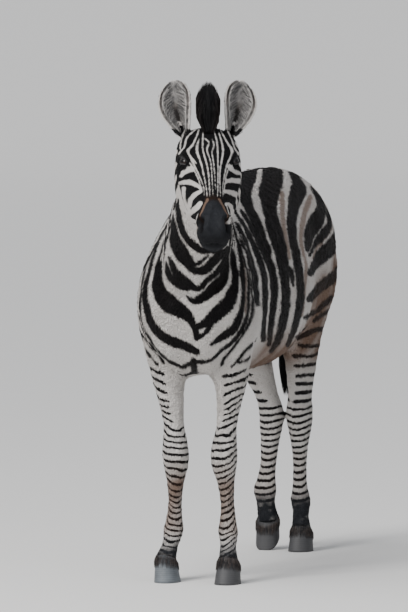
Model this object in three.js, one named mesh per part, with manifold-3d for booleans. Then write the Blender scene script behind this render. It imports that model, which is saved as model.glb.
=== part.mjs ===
// A young plains zebra as a still, life-size model: closed faceted solids in millimetres, +Z up, standing on z = 0.
// The animal faces -Y, its left side is +X. Each solid reaches out to the tips of the coat.
// The trunk, the neck, the head and each leg are lofts. They are joined and then parted again with thin cuts
// where one named part of the body meets the next.
import * as THREE from "three";
import { mergeVertices } from "three/addons/utils/BufferGeometryUtils.js";
import Module from "manifold-3d";

const wasm = await Module();
wasm.setup();

const GAP = 0.3; // clear space between neighbouring solids
const DEG = Math.PI / 180;

// ---------------------------------------------------------------- driving dimensions
const WITHERS = 1225; // height of the withers
const HEAD_LENGTH = 436; // poll to lips
const EYE_R = 18;
const EAR_LENGTH = 166;

// ---------------------------------------------------------------- lofts
// Value of one field at place t along the stations, by a Catmull-Rom curve through them.
function along(stations, field, t) {
  const last = stations.length - 1;
  const i = Math.min(Math.floor(t), last - 1);
  const u = t - i;
  const at = (k) => stations[Math.max(0, Math.min(last, k))][field] ?? 0;
  const [a, b, c, d] = [at(i - 1), at(i), at(i + 1), at(i + 2)];
  return b + 0.5 * u * (c - a + u * (2 * a - 5 * b + 4 * c - d + u * (3 * (b - c) + d - a)));
}

// All fields of the stations at place t.
function stationAt(stations, t) {
  return Object.fromEntries(Object.keys(stations[0]).map((f) => [f, along(stations, f, t)]));
}

// Unit superellipse: n 2 is round, above 2 is boxy and below 2 is pointed.
function squarish(angle, n) {
  const c = Math.cos(angle);
  const s = Math.sin(angle);
  return [Math.sign(c) * Math.abs(c) ** (2 / n), Math.sign(s) * Math.abs(s) ** (2 / n)];
}

// A closed surface through rings of points, with a fan over each end ring.
function skinOver(rings) {
  const size = rings[0].length;
  const points = rings.flat();
  const faces = [];
  for (let r = 0; r + 1 < rings.length; r++)
    for (let k = 0; k < size; k++) {
      const a = r * size + k;
      const b = r * size + ((k + 1) % size);
      faces.push(a, b, b + size, a, b + size, a + size);
    }
  for (const [ring, start] of [[rings[0], 0], [rings.at(-1), (rings.length - 1) * size]]) {
    const centre = ring.reduce((sum, p) => sum.add(p), new THREE.Vector3()).divideScalar(size);
    points.push(centre);
    for (let k = 0; k < size; k++) {
      const next = start + ((k + 1) % size);
      faces.push(...(start ? [start + k, next, points.length - 1] : [next, start + k, points.length - 1]));
    }
  }
  return solidFrom(points, faces);
}

// A manifold solid from points and faces, turned outwards if its faces run the other way round.
function solidFrom(points, faces) {
  return closed(mergeVertices(new THREE.BufferGeometry().setFromPoints(points).setIndex(faces), 1e-3));
}

function closed(merged) {
  const build = (triVerts) =>
    new wasm.Manifold(new wasm.Mesh({ numProp: 3, vertProperties: merged.attributes.position.array, triVerts }));
  const made = build(new Uint32Array(merged.index.array));
  return made.volume() > 0 ? made : build(new Uint32Array(merged.index.array).reverse());
}

// The end rings of a loft that is grown for clearance move out along it as well.
function pushEnds(rings, grow) {
  const away = (ring, next) => {
    const step = ring[0].clone().sub(next[0]).setLength(grow);
    ring.forEach((p) => p.add(step));
  };
  if (grow) {
    away(rings[0], rings[1]);
    away(rings.at(-1), rings.at(-2));
  }
  return rings;
}

function geometryOf(solid) {
  const m = solid.getMesh();
  const flat = new Float32Array(m.numVert * 3);
  for (let i = 0; i < m.numVert; i++) flat.set(m.vertProperties.subarray(i * m.numProp, i * m.numProp + 3), i * 3);
  const geometry = new THREE.BufferGeometry();
  geometry.setAttribute("position", new THREE.BufferAttribute(flat, 3));
  geometry.setIndex(new THREE.BufferAttribute(m.triVerts, 1));
  geometry.computeVertexNormals();
  return geometry;
}

// ---------------------------------------------------------------- trunk and neck
// Each section is a plane through a point of the back (dy, dz) and one of the underside (vy, vz), centred on x and
// turned by yaw. w is its half width, k how far up the widest level lies, nt and nb how square it is above and below.
const TRUNK = [
  { dy: 676, dz: 1136, vy: 692, vz: 1050, x: 0, w: 38, k: 0.5, nt: 2.0, nb: 2.0, yaw: 0 },
  { dy: 654, dz: 1166, vy: 696, vz: 900, x: 0, w: 100, k: 0.5, nt: 2.0, nb: 2.0, yaw: 0 },
  { dy: 604, dz: 1196, vy: 650, vz: 800, x: 0, w: 146, k: 0.5, nt: 2.0, nb: 2.1, yaw: 0 },
  { dy: 520, dz: 1224, vy: 545, vz: 735, x: 0, w: 174, k: 0.5, nt: 1.95, nb: 2.2, yaw: 0 },
  { dy: 420, dz: 1238, vy: 420, vz: 690, x: 0, w: 186, k: 0.52, nt: 1.95, nb: 2.2, yaw: 0 },
  { dy: 300, dz: 1240, vy: 300, vz: 655, x: 0, w: 190, k: 0.5, nt: 2.0, nb: 2.2, yaw: 0 },
  { dy: 170, dz: 1234, vy: 170, vz: 628, x: 0, w: 206, k: 0.46, nt: 2.0, nb: 2.3, yaw: 0 },
  { dy: 30, dz: 1218, vy: 30, vz: 618, x: 0, w: 218, k: 0.44, nt: 1.95, nb: 2.35, yaw: 0 },
  { dy: -110, dz: 1212, vy: -110, vz: 616, x: 0, w: 208, k: 0.42, nt: 1.8, nb: 2.3, yaw: 0 },
  { dy: -210, dz: 1218, vy: -250, vz: 620, x: 0, w: 192, k: 0.38, nt: 1.65, nb: 2.2, yaw: 1 },
  { dy: -285, dz: WITHERS, vy: -365, vz: 628, x: 2, w: 182, k: 0.36, nt: 1.5, nb: 2.2, yaw: 2 },
  { dy: -345, dz: 1168, vy: -455, vz: 650, x: 6, w: 174, k: 0.38, nt: 1.7, nb: 2.2, yaw: 3 },
  { dy: -412, dz: 1082, vy: -512, vz: 694, x: 8, w: 156, k: 0.42, nt: 2.0, nb: 2.2, yaw: 4 },
  { dy: -480, dz: 986, vy: -542, vz: 752, x: 10, w: 118, k: 0.48, nt: 2.0, nb: 2.1, yaw: 4 },
  { dy: -530, dz: 900, vy: -552, vz: 806, x: 12, w: 50, k: 0.5, nt: 2.0, nb: 2.0, yaw: 4 },
];
const NECK = [
  { dy: -215, dz: 1190, vy: -400, vz: 800, x: 0, w: 98, k: 0.5, nt: 2.0, nb: 2.0, yaw: 4 },
  { dy: -290, dz: 1230, vy: -490, vz: 800, x: 14, w: 114, k: 0.4, nt: 1.5, nb: 2.1, yaw: 8 },
  { dy: -370, dz: 1258, vy: -556, vz: 862, x: 34, w: 107, k: 0.42, nt: 1.5, nb: 2.1, yaw: 12 },
  { dy: -450, dz: 1292, vy: -598, vz: 934, x: 58, w: 97, k: 0.43, nt: 1.55, nb: 2.1, yaw: 16 },
  { dy: -525, dz: 1328, vy: -630, vz: 998, x: 83, w: 86, k: 0.44, nt: 1.6, nb: 2.1, yaw: 18 },
  { dy: -597, dz: 1360, vy: -658, vz: 1054, x: 106, w: 77, k: 0.46, nt: 1.65, nb: 2.1, yaw: 20 },
  { dy: -662, dz: 1384, vy: -686, vz: 1104, x: 127, w: 72, k: 0.48, nt: 1.7, nb: 2.1, yaw: 21 },
  { dy: -720, dz: 1392, vy: -714, vz: 1146, x: 143, w: 66, k: 0.5, nt: 1.9, nb: 2.1, yaw: 21 },
  { dy: -756, dz: 1370, vy: -738, vz: 1172, x: 150, w: 50, k: 0.5, nt: 2.0, nb: 2.0, yaw: 21 },
];
const BODY_SEGMENTS = 24;

// A section's plane: its middle, its way up and to the animal's left, and its height.
function sectionPlane(s) {
  const back = new THREE.Vector3(s.x, s.dy, s.dz);
  const belly = new THREE.Vector3(s.x, s.vy, s.vz);
  const up = back.clone().sub(belly);
  const height = up.length();
  const side = new THREE.Vector3(Math.cos(s.yaw * DEG), Math.sin(s.yaw * DEG), 0);
  return { middle: belly.clone().lerp(back, s.k), up: up.normalize(), side, height };
}

function bodySolid(stations, grow) {
  const rings = [];
  for (let t = 0; t <= stations.length - 1 + 1e-9; t += 0.5) {
    const s = stationAt(stations, t);
    const { middle, up, side, height } = sectionPlane(s);
    rings.push(
      Array.from({ length: BODY_SEGMENTS }, (_, i) => {
        const angle = (2 * Math.PI * i) / BODY_SEGMENTS;
        const above = Math.sin(angle) >= 0;
        const [c, v] = squarish(angle, above ? s.nt : s.nb);
        const reach = height * (above ? 1 - s.k : s.k) + grow;
        return middle.clone().addScaledVector(side, c * (s.w + grow)).addScaledVector(up, v * reach);
      }),
    );
  }
  return skinOver(pushEnds(rings, grow));
}

// ---------------------------------------------------------------- head
// The head's own axes: h runs from the poll to the lips, v up out of the forehead and l to the animal's left.
const POLL = new THREE.Vector3(147, -735, 1372);
const HEAD_YAW = 21;
const HEAD_PITCH = 36.5;
const headForward = new THREE.Vector3(Math.sin(HEAD_YAW * DEG), -Math.cos(HEAD_YAW * DEG), 0);
const headLeft = new THREE.Vector3(Math.cos(HEAD_YAW * DEG), Math.sin(HEAD_YAW * DEG), 0);
const headH = headForward.clone().multiplyScalar(Math.cos(HEAD_PITCH * DEG)).setZ(-Math.sin(HEAD_PITCH * DEG));
const headV = headForward.clone().multiplyScalar(Math.sin(HEAD_PITCH * DEG)).setZ(Math.cos(HEAD_PITCH * DEG));

function headPoint(h, v, l) {
  return POLL.clone().addScaledVector(headH, h).addScaledVector(headV, v).addScaledVector(headLeft, l);
}

// Sections square to h: top and low are v at the forehead and at the jaw, w the half width at level mid.
const HEAD = [
  { h: -42, top: -48, low: -92, mid: -70, w: 24, nt: 2.0, nb: 2.0 },
  { h: -34, top: -18, low: -132, mid: -68, w: 64, nt: 2.0, nb: 2.0 },
  { h: -12, top: -2, low: -172, mid: -68, w: 84, nt: 2.2, nb: 2.2 },
  { h: 28, top: 8, low: -198, mid: -74, w: 93, nt: 2.5, nb: 2.8 },
  { h: 72, top: 14, low: -212, mid: -82, w: 95, nt: 2.7, nb: 3.1 },
  { h: 114, top: 16, low: -217, mid: -88, w: 94, nt: 2.8, nb: 3.3 },
  { h: 156, top: 12, low: -212, mid: -98, w: 86, nt: 2.2, nb: 3.2 },
  { h: 200, top: 6, low: -194, mid: -104, w: 75, nt: 2.0, nb: 2.9 },
  { h: 248, top: 0, low: -168, mid: -88, w: 61, nt: 2.1, nb: 2.5 },
  { h: 296, top: -4, low: -144, mid: -72, w: 51, nt: 2.1, nb: 2.2 },
  { h: 340, top: -6, low: -128, mid: -60, w: 48, nt: 2.2, nb: 2.1 },
  { h: 378, top: -9, low: -123, mid: -56, w: 52, nt: 2.3, nb: 2.2 },
  { h: 410, top: -20, low: -120, mid: -62, w: 48, nt: 2.2, nb: 2.2 },
  { h: 428, top: -38, low: -106, mid: -70, w: 35, nt: 2.1, nb: 2.1 },
  { h: HEAD_LENGTH, top: -56, low: -90, mid: -73, w: 18, nt: 2.0, nb: 2.0 },
];
const HEAD_SEGMENTS = 24;

function headSolid(grow) {
  const rings = [];
  for (let t = 0; t <= HEAD.length - 1 + 1e-9; t += 0.5) {
    const s = stationAt(HEAD, t);
    rings.push(
      Array.from({ length: HEAD_SEGMENTS }, (_, i) => {
        const angle = (2 * Math.PI * i) / HEAD_SEGMENTS;
        const above = Math.sin(angle) >= 0;
        const [c, v] = squarish(angle, above ? s.nt : s.nb);
        const reach = (above ? s.top - s.mid : s.mid - s.low) + grow;
        return headPoint(s.h, s.mid + v * reach, c * (s.w + grow));
      }),
    );
  }
  return skinOver(pushEnds(rings, grow));
}

// ---------------------------------------------------------------- eyes
// The eyeballs stand a little proud of the side of the head, under the brows.
const EYE = { h: 110, v: -30, l: 73 };

function eyeSolid(side, grow) {
  const ball = new THREE.SphereGeometry(EYE_R + grow, 12, 8);
  const at = headPoint(EYE.h, EYE.v, side * EYE.l);
  ball.translate(at.x, at.y, at.z).deleteAttribute("normal").deleteAttribute("uv");
  const merged = mergeVertices(ball, 1e-3);
  return closed(merged);
}

// ---------------------------------------------------------------- ears
// An ear is a cupped leaf. u runs up it from its root. Its section is half an ellipse of the leaf's half width and
// depth, its inner face is the same less the wall, and its middle line bows outwards.
const EAR = { h: -8, v: -26, l: 66, halfWidth: 46, depth: 44, wall: 8, lean: 12, bow: 10, back: 6, turnOut: 0.15 };
const EAR_TIP = { halfWidth: 5, depth: 6, taper: 0.7 }; // the least it narrows to, and the share of its depth lost
const EAR_RINGS = 10;
const EAR_ARC = 7;

// Half width of the leaf at place u as a share of its widest.
function earLeaf(u) {
  return Math.sin(Math.PI * (0.14 + 0.86 * u) ** 1.8) ** 0.55;
}

function earSolid(side) {
  const root = headPoint(EAR.h, EAR.v, side * EAR.l);
  const axis = new THREE.Vector3(0, 0, 1)
    .addScaledVector(headLeft, side * Math.tan(EAR.lean * DEG))
    .addScaledVector(headForward, -Math.tan(EAR.back * DEG))
    .normalize();
  const facing = headForward.clone().addScaledVector(headLeft, side * EAR.turnOut);
  facing.addScaledVector(axis, -facing.dot(axis)).normalize();
  const across = new THREE.Vector3().crossVectors(axis, facing);
  const outward = Math.sign(across.dot(headLeft) * side);
  const rings = [];
  for (let i = 0; i < EAR_RINGS; i++) {
    const u = i / (EAR_RINGS - 1);
    const wide = Math.max(EAR_TIP.halfWidth, EAR.halfWidth * earLeaf(u));
    const deep = Math.max(EAR_TIP.depth, EAR.depth * (1 - EAR_TIP.taper * u * u));
    const wall = Math.min(EAR.wall, wide * 0.6, deep * 0.6);
    const bow = side * outward * EAR.bow * Math.sin(Math.PI * Math.min(1, u * 1.1));
    const centre = root.clone().addScaledVector(axis, u * EAR_LENGTH).addScaledVector(across, bow * side);
    const on = (angle, w, d) =>
      centre.clone().addScaledVector(across, w * Math.sin(angle)).addScaledVector(facing, deep / 2 - d * Math.cos(angle));
    const outer = Array.from({ length: EAR_ARC + 1 }, (_, k) => on(Math.PI * (k / EAR_ARC - 0.5), wide, deep));
    const inner = Array.from({ length: EAR_ARC - 1 }, (_, k) =>
      on(Math.PI * (0.5 - (k + 1) / EAR_ARC), wide - wall, deep - wall),
    );
    rings.push([...outer, ...inner]);
  }
  return skinOver(rings);
}

// ---------------------------------------------------------------- mane
// The upright brush along the crest, from the withers to the forelock between the ears. tall is its height.
const MANE_HALF = 24;
const MANE_SINK = 22;
const MANE_TALL = { withers: 30, poll: 125, fullFrom: 5 }; // fullFrom is the station of the neck where it is full
const FORELOCK = [
  { h: 4, half: MANE_HALF, tall: 138 },
  { h: 20, half: MANE_HALF - 2, tall: 128 },
  { h: 34, half: 12, tall: 70 },
];

function maneRing(base, side, up, half, tall) {
  const reach = (tall + MANE_SINK) / 2;
  const middle = base.clone().addScaledVector(up, tall / 2 - MANE_SINK / 2);
  return Array.from({ length: 12 }, (_, i) => {
    const [c, v] = squarish((2 * Math.PI * i) / 12, 2.4);
    return middle.clone().addScaledVector(side, c * half).addScaledVector(up, v * reach);
  });
}

function maneSolid() {
  const rings = [];
  for (let t = 0.5; t <= 7; t += 0.5) {
    const s = stationAt(NECK, t);
    const { up, side } = sectionPlane(s);
    const rise = Math.min(1, t / MANE_TALL.fullFrom);
    const base = new THREE.Vector3(s.x, s.dy, s.dz);
    const tall = MANE_TALL.withers + (MANE_TALL.poll - MANE_TALL.withers) * rise;
    rings.push(maneRing(base, side, up, MANE_HALF * (0.6 + 0.4 * rise), tall));
  }
  const upright = new THREE.Vector3(0, 0, 1);
  for (const f of FORELOCK) rings.push(maneRing(headPoint(f.h, 4, 0), headLeft, upright, f.half, f.tall));
  return skinOver(rings);
}

// ---------------------------------------------------------------- tail
// The dock hangs from the croup against the buttocks and ends in a tuft of long hair.
const TAIL = [
  { x: 0, y: 652, z: 1150, a: 24, b: 20 },
  { x: 0, y: 706, z: 1110, a: 26, b: 20 },
  { x: -2, y: 727, z: 1040, a: 25, b: 18 },
  { x: -6, y: 731, z: 940, a: 22, b: 17 },
  { x: -14, y: 722, z: 840, a: 20, b: 17 },
  { x: -24, y: 716, z: 750, a: 20, b: 19 },
];
const TUFT = [
  { x: -24, y: 716, z: 750 - GAP, a: 20, b: 19 },
  { x: -30, y: 714, z: 700, a: 28, b: 26 },
  { x: -36, y: 712, z: 630, a: 32, b: 29 },
  { x: -40, y: 710, z: 560, a: 27, b: 25 },
  { x: -43, y: 708, z: 510, a: 17, b: 16 },
  { x: -44, y: 707, z: 480, a: 6, b: 6 },
];
const TAIL_SEGMENTS = 12;

function tailSolid(stations) {
  const ring = (s) =>
    Array.from({ length: TAIL_SEGMENTS }, (_, i) => {
      const angle = (2 * Math.PI * i) / TAIL_SEGMENTS;
      return new THREE.Vector3(s.x + s.a * Math.cos(angle), s.y + s.b * Math.sin(angle), s.z);
    });
  return skinOver(stations.map(ring));
}

// ---------------------------------------------------------------- legs
// Sections across a leg, from the top down, for a leg on the left: a is the half width, f and b the reach to the
// front and to the back, tilt the rise of the section's plane to the front and n how square it is.
const FORELEG = [
  { x: 78, y: -300, z: 1110, a: 30, f: 40, b: 50, tilt: 0, n: 2.0 },
  { x: 100, y: -340, z: 1010, a: 46, f: 70, b: 88, tilt: 5, n: 2.1 },
  { x: 112, y: -380, z: 900, a: 60, f: 100, b: 112, tilt: 5, n: 2.2 },
  { x: 114, y: -388, z: 810, a: 66, f: 92, b: 118, tilt: 0, n: 2.2 },
  { x: 109, y: -370, z: 720, a: 62, f: 76, b: 98, tilt: 0, n: 2.1 },
  { x: 103, y: -356, z: 650, a: 55, f: 63, b: 72, tilt: 0, n: 2.1 },
  { x: 98, y: -348, z: 590, a: 47, f: 53, b: 55, tilt: 0, n: 2.1 },
  { x: 90, y: -345, z: 530, a: 38, f: 42, b: 43, tilt: 0, n: 2.1 },
  { x: 84, y: -345, z: 475, a: 32, f: 34, b: 35, tilt: 0, n: 2.2 },
  { x: 79, y: -348, z: 430, a: 37, f: 36, b: 34, tilt: 0, n: 2.4 },
  { x: 77, y: -350, z: 388, a: 41, f: 38, b: 39, tilt: 0, n: 2.5 },
  { x: 77, y: -347, z: 345, a: 37, f: 34, b: 39, tilt: 0, n: 2.4 },
  { x: 80, y: -341, z: 300, a: 27, f: 27, b: 33, tilt: 0, n: 2.2 },
  { x: 83, y: -337, z: 240, a: 21, f: 22, b: 29, tilt: 0, n: 2.2 },
  { x: 85, y: -337, z: 188, a: 25, f: 25, b: 34, tilt: 5, n: 2.1 },
  { x: 87, y: -341, z: 152, a: 31, f: 29, b: 37, tilt: 15, n: 2.1 },
  { x: 94, y: -362, z: 112, a: 25, f: 27, b: 28, tilt: 30, n: 2.1 },
  { x: 102, y: -384, z: 80, a: 29, f: 36, b: 34, tilt: 26, n: 2.1 },
  { x: 105, y: -390, z: 68, a: 32, f: 40, b: 37, tilt: 24, n: 2.1 },
];
const HINDLEG = [
  { x: 66, y: 430, z: 1130, a: 52, f: 92, b: 95, tilt: 0, n: 2.1 },
  { x: 86, y: 475, z: 1030, a: 74, f: 150, b: 160, tilt: 0, n: 2.2 },
  { x: 94, y: 498, z: 930, a: 80, f: 172, b: 176, tilt: 0, n: 2.2 },
  { x: 90, y: 490, z: 830, a: 78, f: 160, b: 163, tilt: -4, n: 2.2 },
  { x: 80, y: 490, z: 745, a: 69, f: 132, b: 138, tilt: -12, n: 2.1 },
  { x: 64, y: 526, z: 655, a: 56, f: 92, b: 98, tilt: -22, n: 2.1 },
  { x: 46, y: 580, z: 570, a: 46, f: 62, b: 66, tilt: -24, n: 2.1 },
  { x: 26, y: 632, z: 495, a: 39, f: 45, b: 54, tilt: -14, n: 2.1 },
  { x: 15, y: 662, z: 440, a: 43, f: 41, b: 60, tilt: 0, n: 2.3 },
  { x: 14, y: 672, z: 395, a: 39, f: 42, b: 47, tilt: 6, n: 2.3 },
  { x: 15, y: 671, z: 340, a: 29, f: 33, b: 34, tilt: 4, n: 2.2 },
  { x: 16, y: 668, z: 270, a: 22, f: 25, b: 30, tilt: 2, n: 2.2 },
  { x: 17, y: 665, z: 205, a: 24, f: 25, b: 33, tilt: 2, n: 2.1 },
  { x: 20, y: 664, z: 158, a: 33, f: 31, b: 39, tilt: 15, n: 2.1 },
  { x: 27, y: 643, z: 116, a: 27, f: 28, b: 28, tilt: 30, n: 2.1 },
  { x: 36, y: 620, z: 80, a: 31, f: 37, b: 35, tilt: 26, n: 2.1 },
  { x: 39, y: 614, z: 68, a: 34, f: 41, b: 37, tilt: 24, n: 2.1 },
];
// The right hind leg rests on its toe: the hock is bent, the fetlock folded forward and the heel raised.
const RESTING = [
  { x: 66, y: 425, z: 1130, a: 52, f: 92, b: 95, tilt: 0, n: 2.1 },
  { x: 88, y: 470, z: 1030, a: 74, f: 150, b: 160, tilt: 0, n: 2.2 },
  { x: 98, y: 490, z: 930, a: 80, f: 172, b: 176, tilt: 0, n: 2.2 },
  { x: 102, y: 478, z: 830, a: 80, f: 160, b: 163, tilt: -4, n: 2.2 },
  { x: 102, y: 474, z: 745, a: 71, f: 132, b: 138, tilt: -12, n: 2.1 },
  { x: 98, y: 510, z: 655, a: 56, f: 92, b: 98, tilt: -22, n: 2.1 },
  { x: 91, y: 572, z: 570, a: 45, f: 62, b: 66, tilt: -26, n: 2.1 },
  { x: 83, y: 624, z: 498, a: 36, f: 44, b: 54, tilt: -14, n: 2.1 },
  { x: 77, y: 654, z: 446, a: 39, f: 41, b: 58, tilt: 6, n: 2.3 },
  { x: 78, y: 660, z: 402, a: 38, f: 41, b: 46, tilt: 14, n: 2.3 },
  { x: 79, y: 652, z: 352, a: 32, f: 32, b: 33, tilt: 12, n: 2.2 },
  { x: 80, y: 638, z: 290, a: 27, f: 25, b: 29, tilt: 12, n: 2.2 },
  { x: 82, y: 624, z: 235, a: 29, f: 28, b: 32, tilt: 8, n: 2.1 },
  { x: 85, y: 615, z: 195, a: 38, f: 34, b: 36, tilt: -6, n: 2.1 },
  { x: 83, y: 618, z: 152, a: 31, f: 28, b: 29, tilt: -14, n: 2.1 },
  { x: 79, y: 623, z: 112, a: 33, f: 34, b: 34, tilt: -24, n: 2.1 },
  { x: 78, y: 623, z: 100, a: 36, f: 38, b: 36, tilt: -27, n: 2.1 },
];
const LEG_SEGMENTS = 14;

// One ring of a leg, or of a hoof, from its station. splay moves the foot outwards as the leg nears the ground.
function legRing(s, side, splay) {
  const out = s.x + splay * Math.max(0, 1 - s.z / 150);
  const centre = new THREE.Vector3(side * out, s.y, s.z);
  const forward = new THREE.Vector3(0, -Math.cos(s.tilt * DEG), Math.sin(s.tilt * DEG));
  return Array.from({ length: LEG_SEGMENTS }, (_, i) => {
    const [c, v] = squarish((2 * Math.PI * i) / LEG_SEGMENTS, s.n);
    const reach = v > 0 ? s.f : s.b;
    return centre.clone().addScaledVector(forward, v * reach).setX(side * (out + c * s.a));
  });
}

function legSolid(stations, side, splay) {
  return skinOver(stations.map((s) => legRing(s, side, splay)));
}

// ---------------------------------------------------------------- hooves
// A hoof runs from the coronet, where the leg ends, down to a flat sole whose outline is a leg ring of its own.
const HOOF_LEVEL = 40; // the wall bulges a little at this height

function hoofSolid(coronet, side, splay, sole) {
  const drop = new THREE.Vector3(0, 0, -GAP);
  const top = legRing(coronet, side, splay).map((p) => p.add(drop));
  const bottom = legRing({ ...coronet, ...sole }, side, splay);
  const wall = top.map((p, i) => p.clone().lerp(bottom[i], 1 - HOOF_LEVEL / coronet.z / 2));
  return skinOver([top, wall, bottom]).trimByPlane([0, 0, 1], 0);
}

// ---------------------------------------------------------------- joining and parting
// The legs part from the body at these heights, and the neck parts from the trunk on a slanting plane.
const LEGS = {
  front_left: { stations: FORELEG, side: 1, splay: 0, part: 690, sole: { y: -402, z: 0, tilt: 0, a: 39, f: 52, b: 46 } },
  front_right: { stations: FORELEG, side: -1, splay: -20, part: 690, sole: { y: -402, z: 0, tilt: 0, a: 39, f: 52, b: 46 } },
  hind_left: { stations: HINDLEG, side: 1, splay: 0, part: 720, sole: { y: 602, z: 0, tilt: 0, a: 39, f: 52, b: 46 } },
  hind_right: { stations: RESTING, side: -1, splay: 0, part: 720, sole: { y: 624, z: 32, tilt: -42, a: 38, f: 53, b: 44 } },
};
const NECK_TOP = new THREE.Vector3(0, -300, 1240);
const NECK_FOOT = new THREE.Vector3(0, -500, 800);

const legs = Object.entries(LEGS).map(([name, leg]) => {
  const whole = legSolid(leg.stations, leg.side, leg.splay);
  return {
    name,
    upper: whole.trimByPlane([0, 0, 1], leg.part + GAP),
    lower: whole.trimByPlane([0, 0, -1], -leg.part),
    hoof: hoofSolid(leg.stations.at(-1), leg.side, leg.splay, leg.sole),
  };
});
const trunkSkin = bodySolid(TRUNK, 0);
const clearOfTrunk = bodySolid(TRUNK, GAP);
const clearOfNeck = bodySolid(NECK, GAP);
const clearOfHead = headSolid(GAP);
const body = legs.reduce((sum, leg) => sum.add(leg.upper), trunkSkin.add(bodySolid(NECK, 0)));
const slope = NECK_TOP.clone().sub(NECK_FOOT).normalize();
const ahead = new THREE.Vector3(0, -slope.z, slope.y);
const at = ahead.dot(NECK_FOOT);

const parts = {
  trunk: body.trimByPlane(ahead.clone().negate().toArray(), -at),
  neck: body.trimByPlane(ahead.toArray(), at + GAP).subtract(clearOfHead),
  head: headSolid(0),
  mane: maneSolid().subtract(clearOfNeck).subtract(clearOfHead).subtract(clearOfTrunk),
  tail: tailSolid(TAIL).subtract(clearOfTrunk),
  tail_tuft: tailSolid(TUFT),
};
for (const [name, side] of [["left", 1], ["right", -1]]) {
  parts.head = parts.head.subtract(eyeSolid(side, GAP));
  parts[`eye_${name}`] = eyeSolid(side, 0);
  parts[`ear_${name}`] = earSolid(side).subtract(clearOfHead).subtract(clearOfNeck);
}
for (const leg of legs) {
  parts[`leg_${leg.name}`] = leg.lower.subtract(clearOfTrunk);
  parts[`hoof_${leg.name}`] = leg.hoof;
}

// ---------------------------------------------------------------- colours and scene graph
const COLOURS = { hoof: 0x57524c, eye: 0x120d0a, mane: 0x1a1816, tail_tuft: 0x161412, ear: 0x8d8883, leg: 0x8a7c70 };
const COAT = 0x77716c;

const zebra = new THREE.Group();
for (const [name, solid] of Object.entries(parts)) {
  const colour = COLOURS[name] ?? COLOURS[name.split("_")[0]] ?? COAT;
  const roughness = name.startsWith("eye") ? 0.08 : 0.85;
  const mesh = new THREE.Mesh(geometryOf(solid), new THREE.MeshStandardMaterial({ color: colour, roughness }));
  mesh.name = name;
  zebra.add(mesh);
}
// The frame's origin is on the floor, under the middle of the animal.
const middle = new THREE.Box3().setFromObject(zebra).getCenter(new THREE.Vector3());
zebra.position.set(-middle.x, -middle.y, 0);

export default zebra;
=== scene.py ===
import math

import bpy
import numpy as np
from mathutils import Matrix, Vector


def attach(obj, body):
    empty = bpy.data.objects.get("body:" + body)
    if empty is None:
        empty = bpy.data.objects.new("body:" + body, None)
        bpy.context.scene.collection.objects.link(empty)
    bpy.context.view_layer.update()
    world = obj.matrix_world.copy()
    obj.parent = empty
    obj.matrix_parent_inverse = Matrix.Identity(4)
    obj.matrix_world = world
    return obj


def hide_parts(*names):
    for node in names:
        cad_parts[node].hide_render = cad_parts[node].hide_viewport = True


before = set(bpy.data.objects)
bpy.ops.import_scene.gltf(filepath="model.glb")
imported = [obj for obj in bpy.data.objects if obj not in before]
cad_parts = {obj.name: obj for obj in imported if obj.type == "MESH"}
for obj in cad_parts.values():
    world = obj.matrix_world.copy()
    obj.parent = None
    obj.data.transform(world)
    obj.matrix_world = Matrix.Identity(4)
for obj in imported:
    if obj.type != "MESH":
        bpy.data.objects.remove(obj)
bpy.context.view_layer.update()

# ---------------------------------------------------------------- the skin
# The tanned hide of a young plains zebra over its sculpted form, from the ears to the dock in one piece.
# Lofts in the animal's own axes (millimetres, facing -y, its left +x) are grown together and then modelled.
OFFSET = np.array([-39.968, 146.025, 0.0])
POLL = np.array([147.0, -735.0, 1372.0])
HEAD_YAW = math.radians(21)
HEAD_PITCH = math.radians(36.5)
AHEAD = np.array([math.sin(HEAD_YAW), -math.cos(HEAD_YAW), 0])
LEFT = np.array([math.cos(HEAD_YAW), math.sin(HEAD_YAW), 0])
UP = np.array([0, 0, 1.0])
DOWN_FACE = AHEAD * math.cos(HEAD_PITCH) - UP * math.sin(HEAD_PITCH)
OUT_FACE = AHEAD * math.sin(HEAD_PITCH) + UP * math.cos(HEAD_PITCH)
HEAD_AXES = np.stack([DOWN_FACE, OUT_FACE, LEFT])

# Back y, z; underside y, z; middle x, half width, level of the widest place, squareness above and below, yaw.
TRUNK = [
    (676, 1136, 692, 1050, 0, 38, 0.5, 2, 2, 0),
    (654, 1166, 696, 900, 0, 100, 0.5, 2, 2, 0),
    (604, 1196, 650, 800, 0, 146, 0.5, 2, 2.1, 0),
    (520, 1224, 545, 735, 0, 174, 0.5, 1.95, 2.2, 0),
    (420, 1238, 420, 690, 0, 186, 0.52, 1.95, 2.2, 0),
    (300, 1240, 300, 655, 0, 190, 0.5, 2, 2.2, 0),
    (170, 1234, 170, 628, 0, 206, 0.46, 2, 2.3, 0),
    (30, 1218, 30, 618, 0, 218, 0.44, 1.95, 2.35, 0),
    (-110, 1212, -110, 616, 0, 208, 0.42, 1.8, 2.3, 0),
    (-210, 1218, -250, 620, 0, 192, 0.38, 1.65, 2.2, 1),
    (-285, 1225, -365, 628, 2, 182, 0.36, 1.5, 2.2, 2),
    (-345, 1168, -455, 650, 6, 174, 0.38, 1.7, 2.2, 3),
    (-412, 1082, -512, 694, 8, 156, 0.42, 2, 2.2, 4),
    (-480, 986, -542, 752, 10, 118, 0.48, 2, 2.1, 4),
    (-530, 900, -552, 806, 12, 50, 0.5, 2, 2, 4),
]
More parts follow.
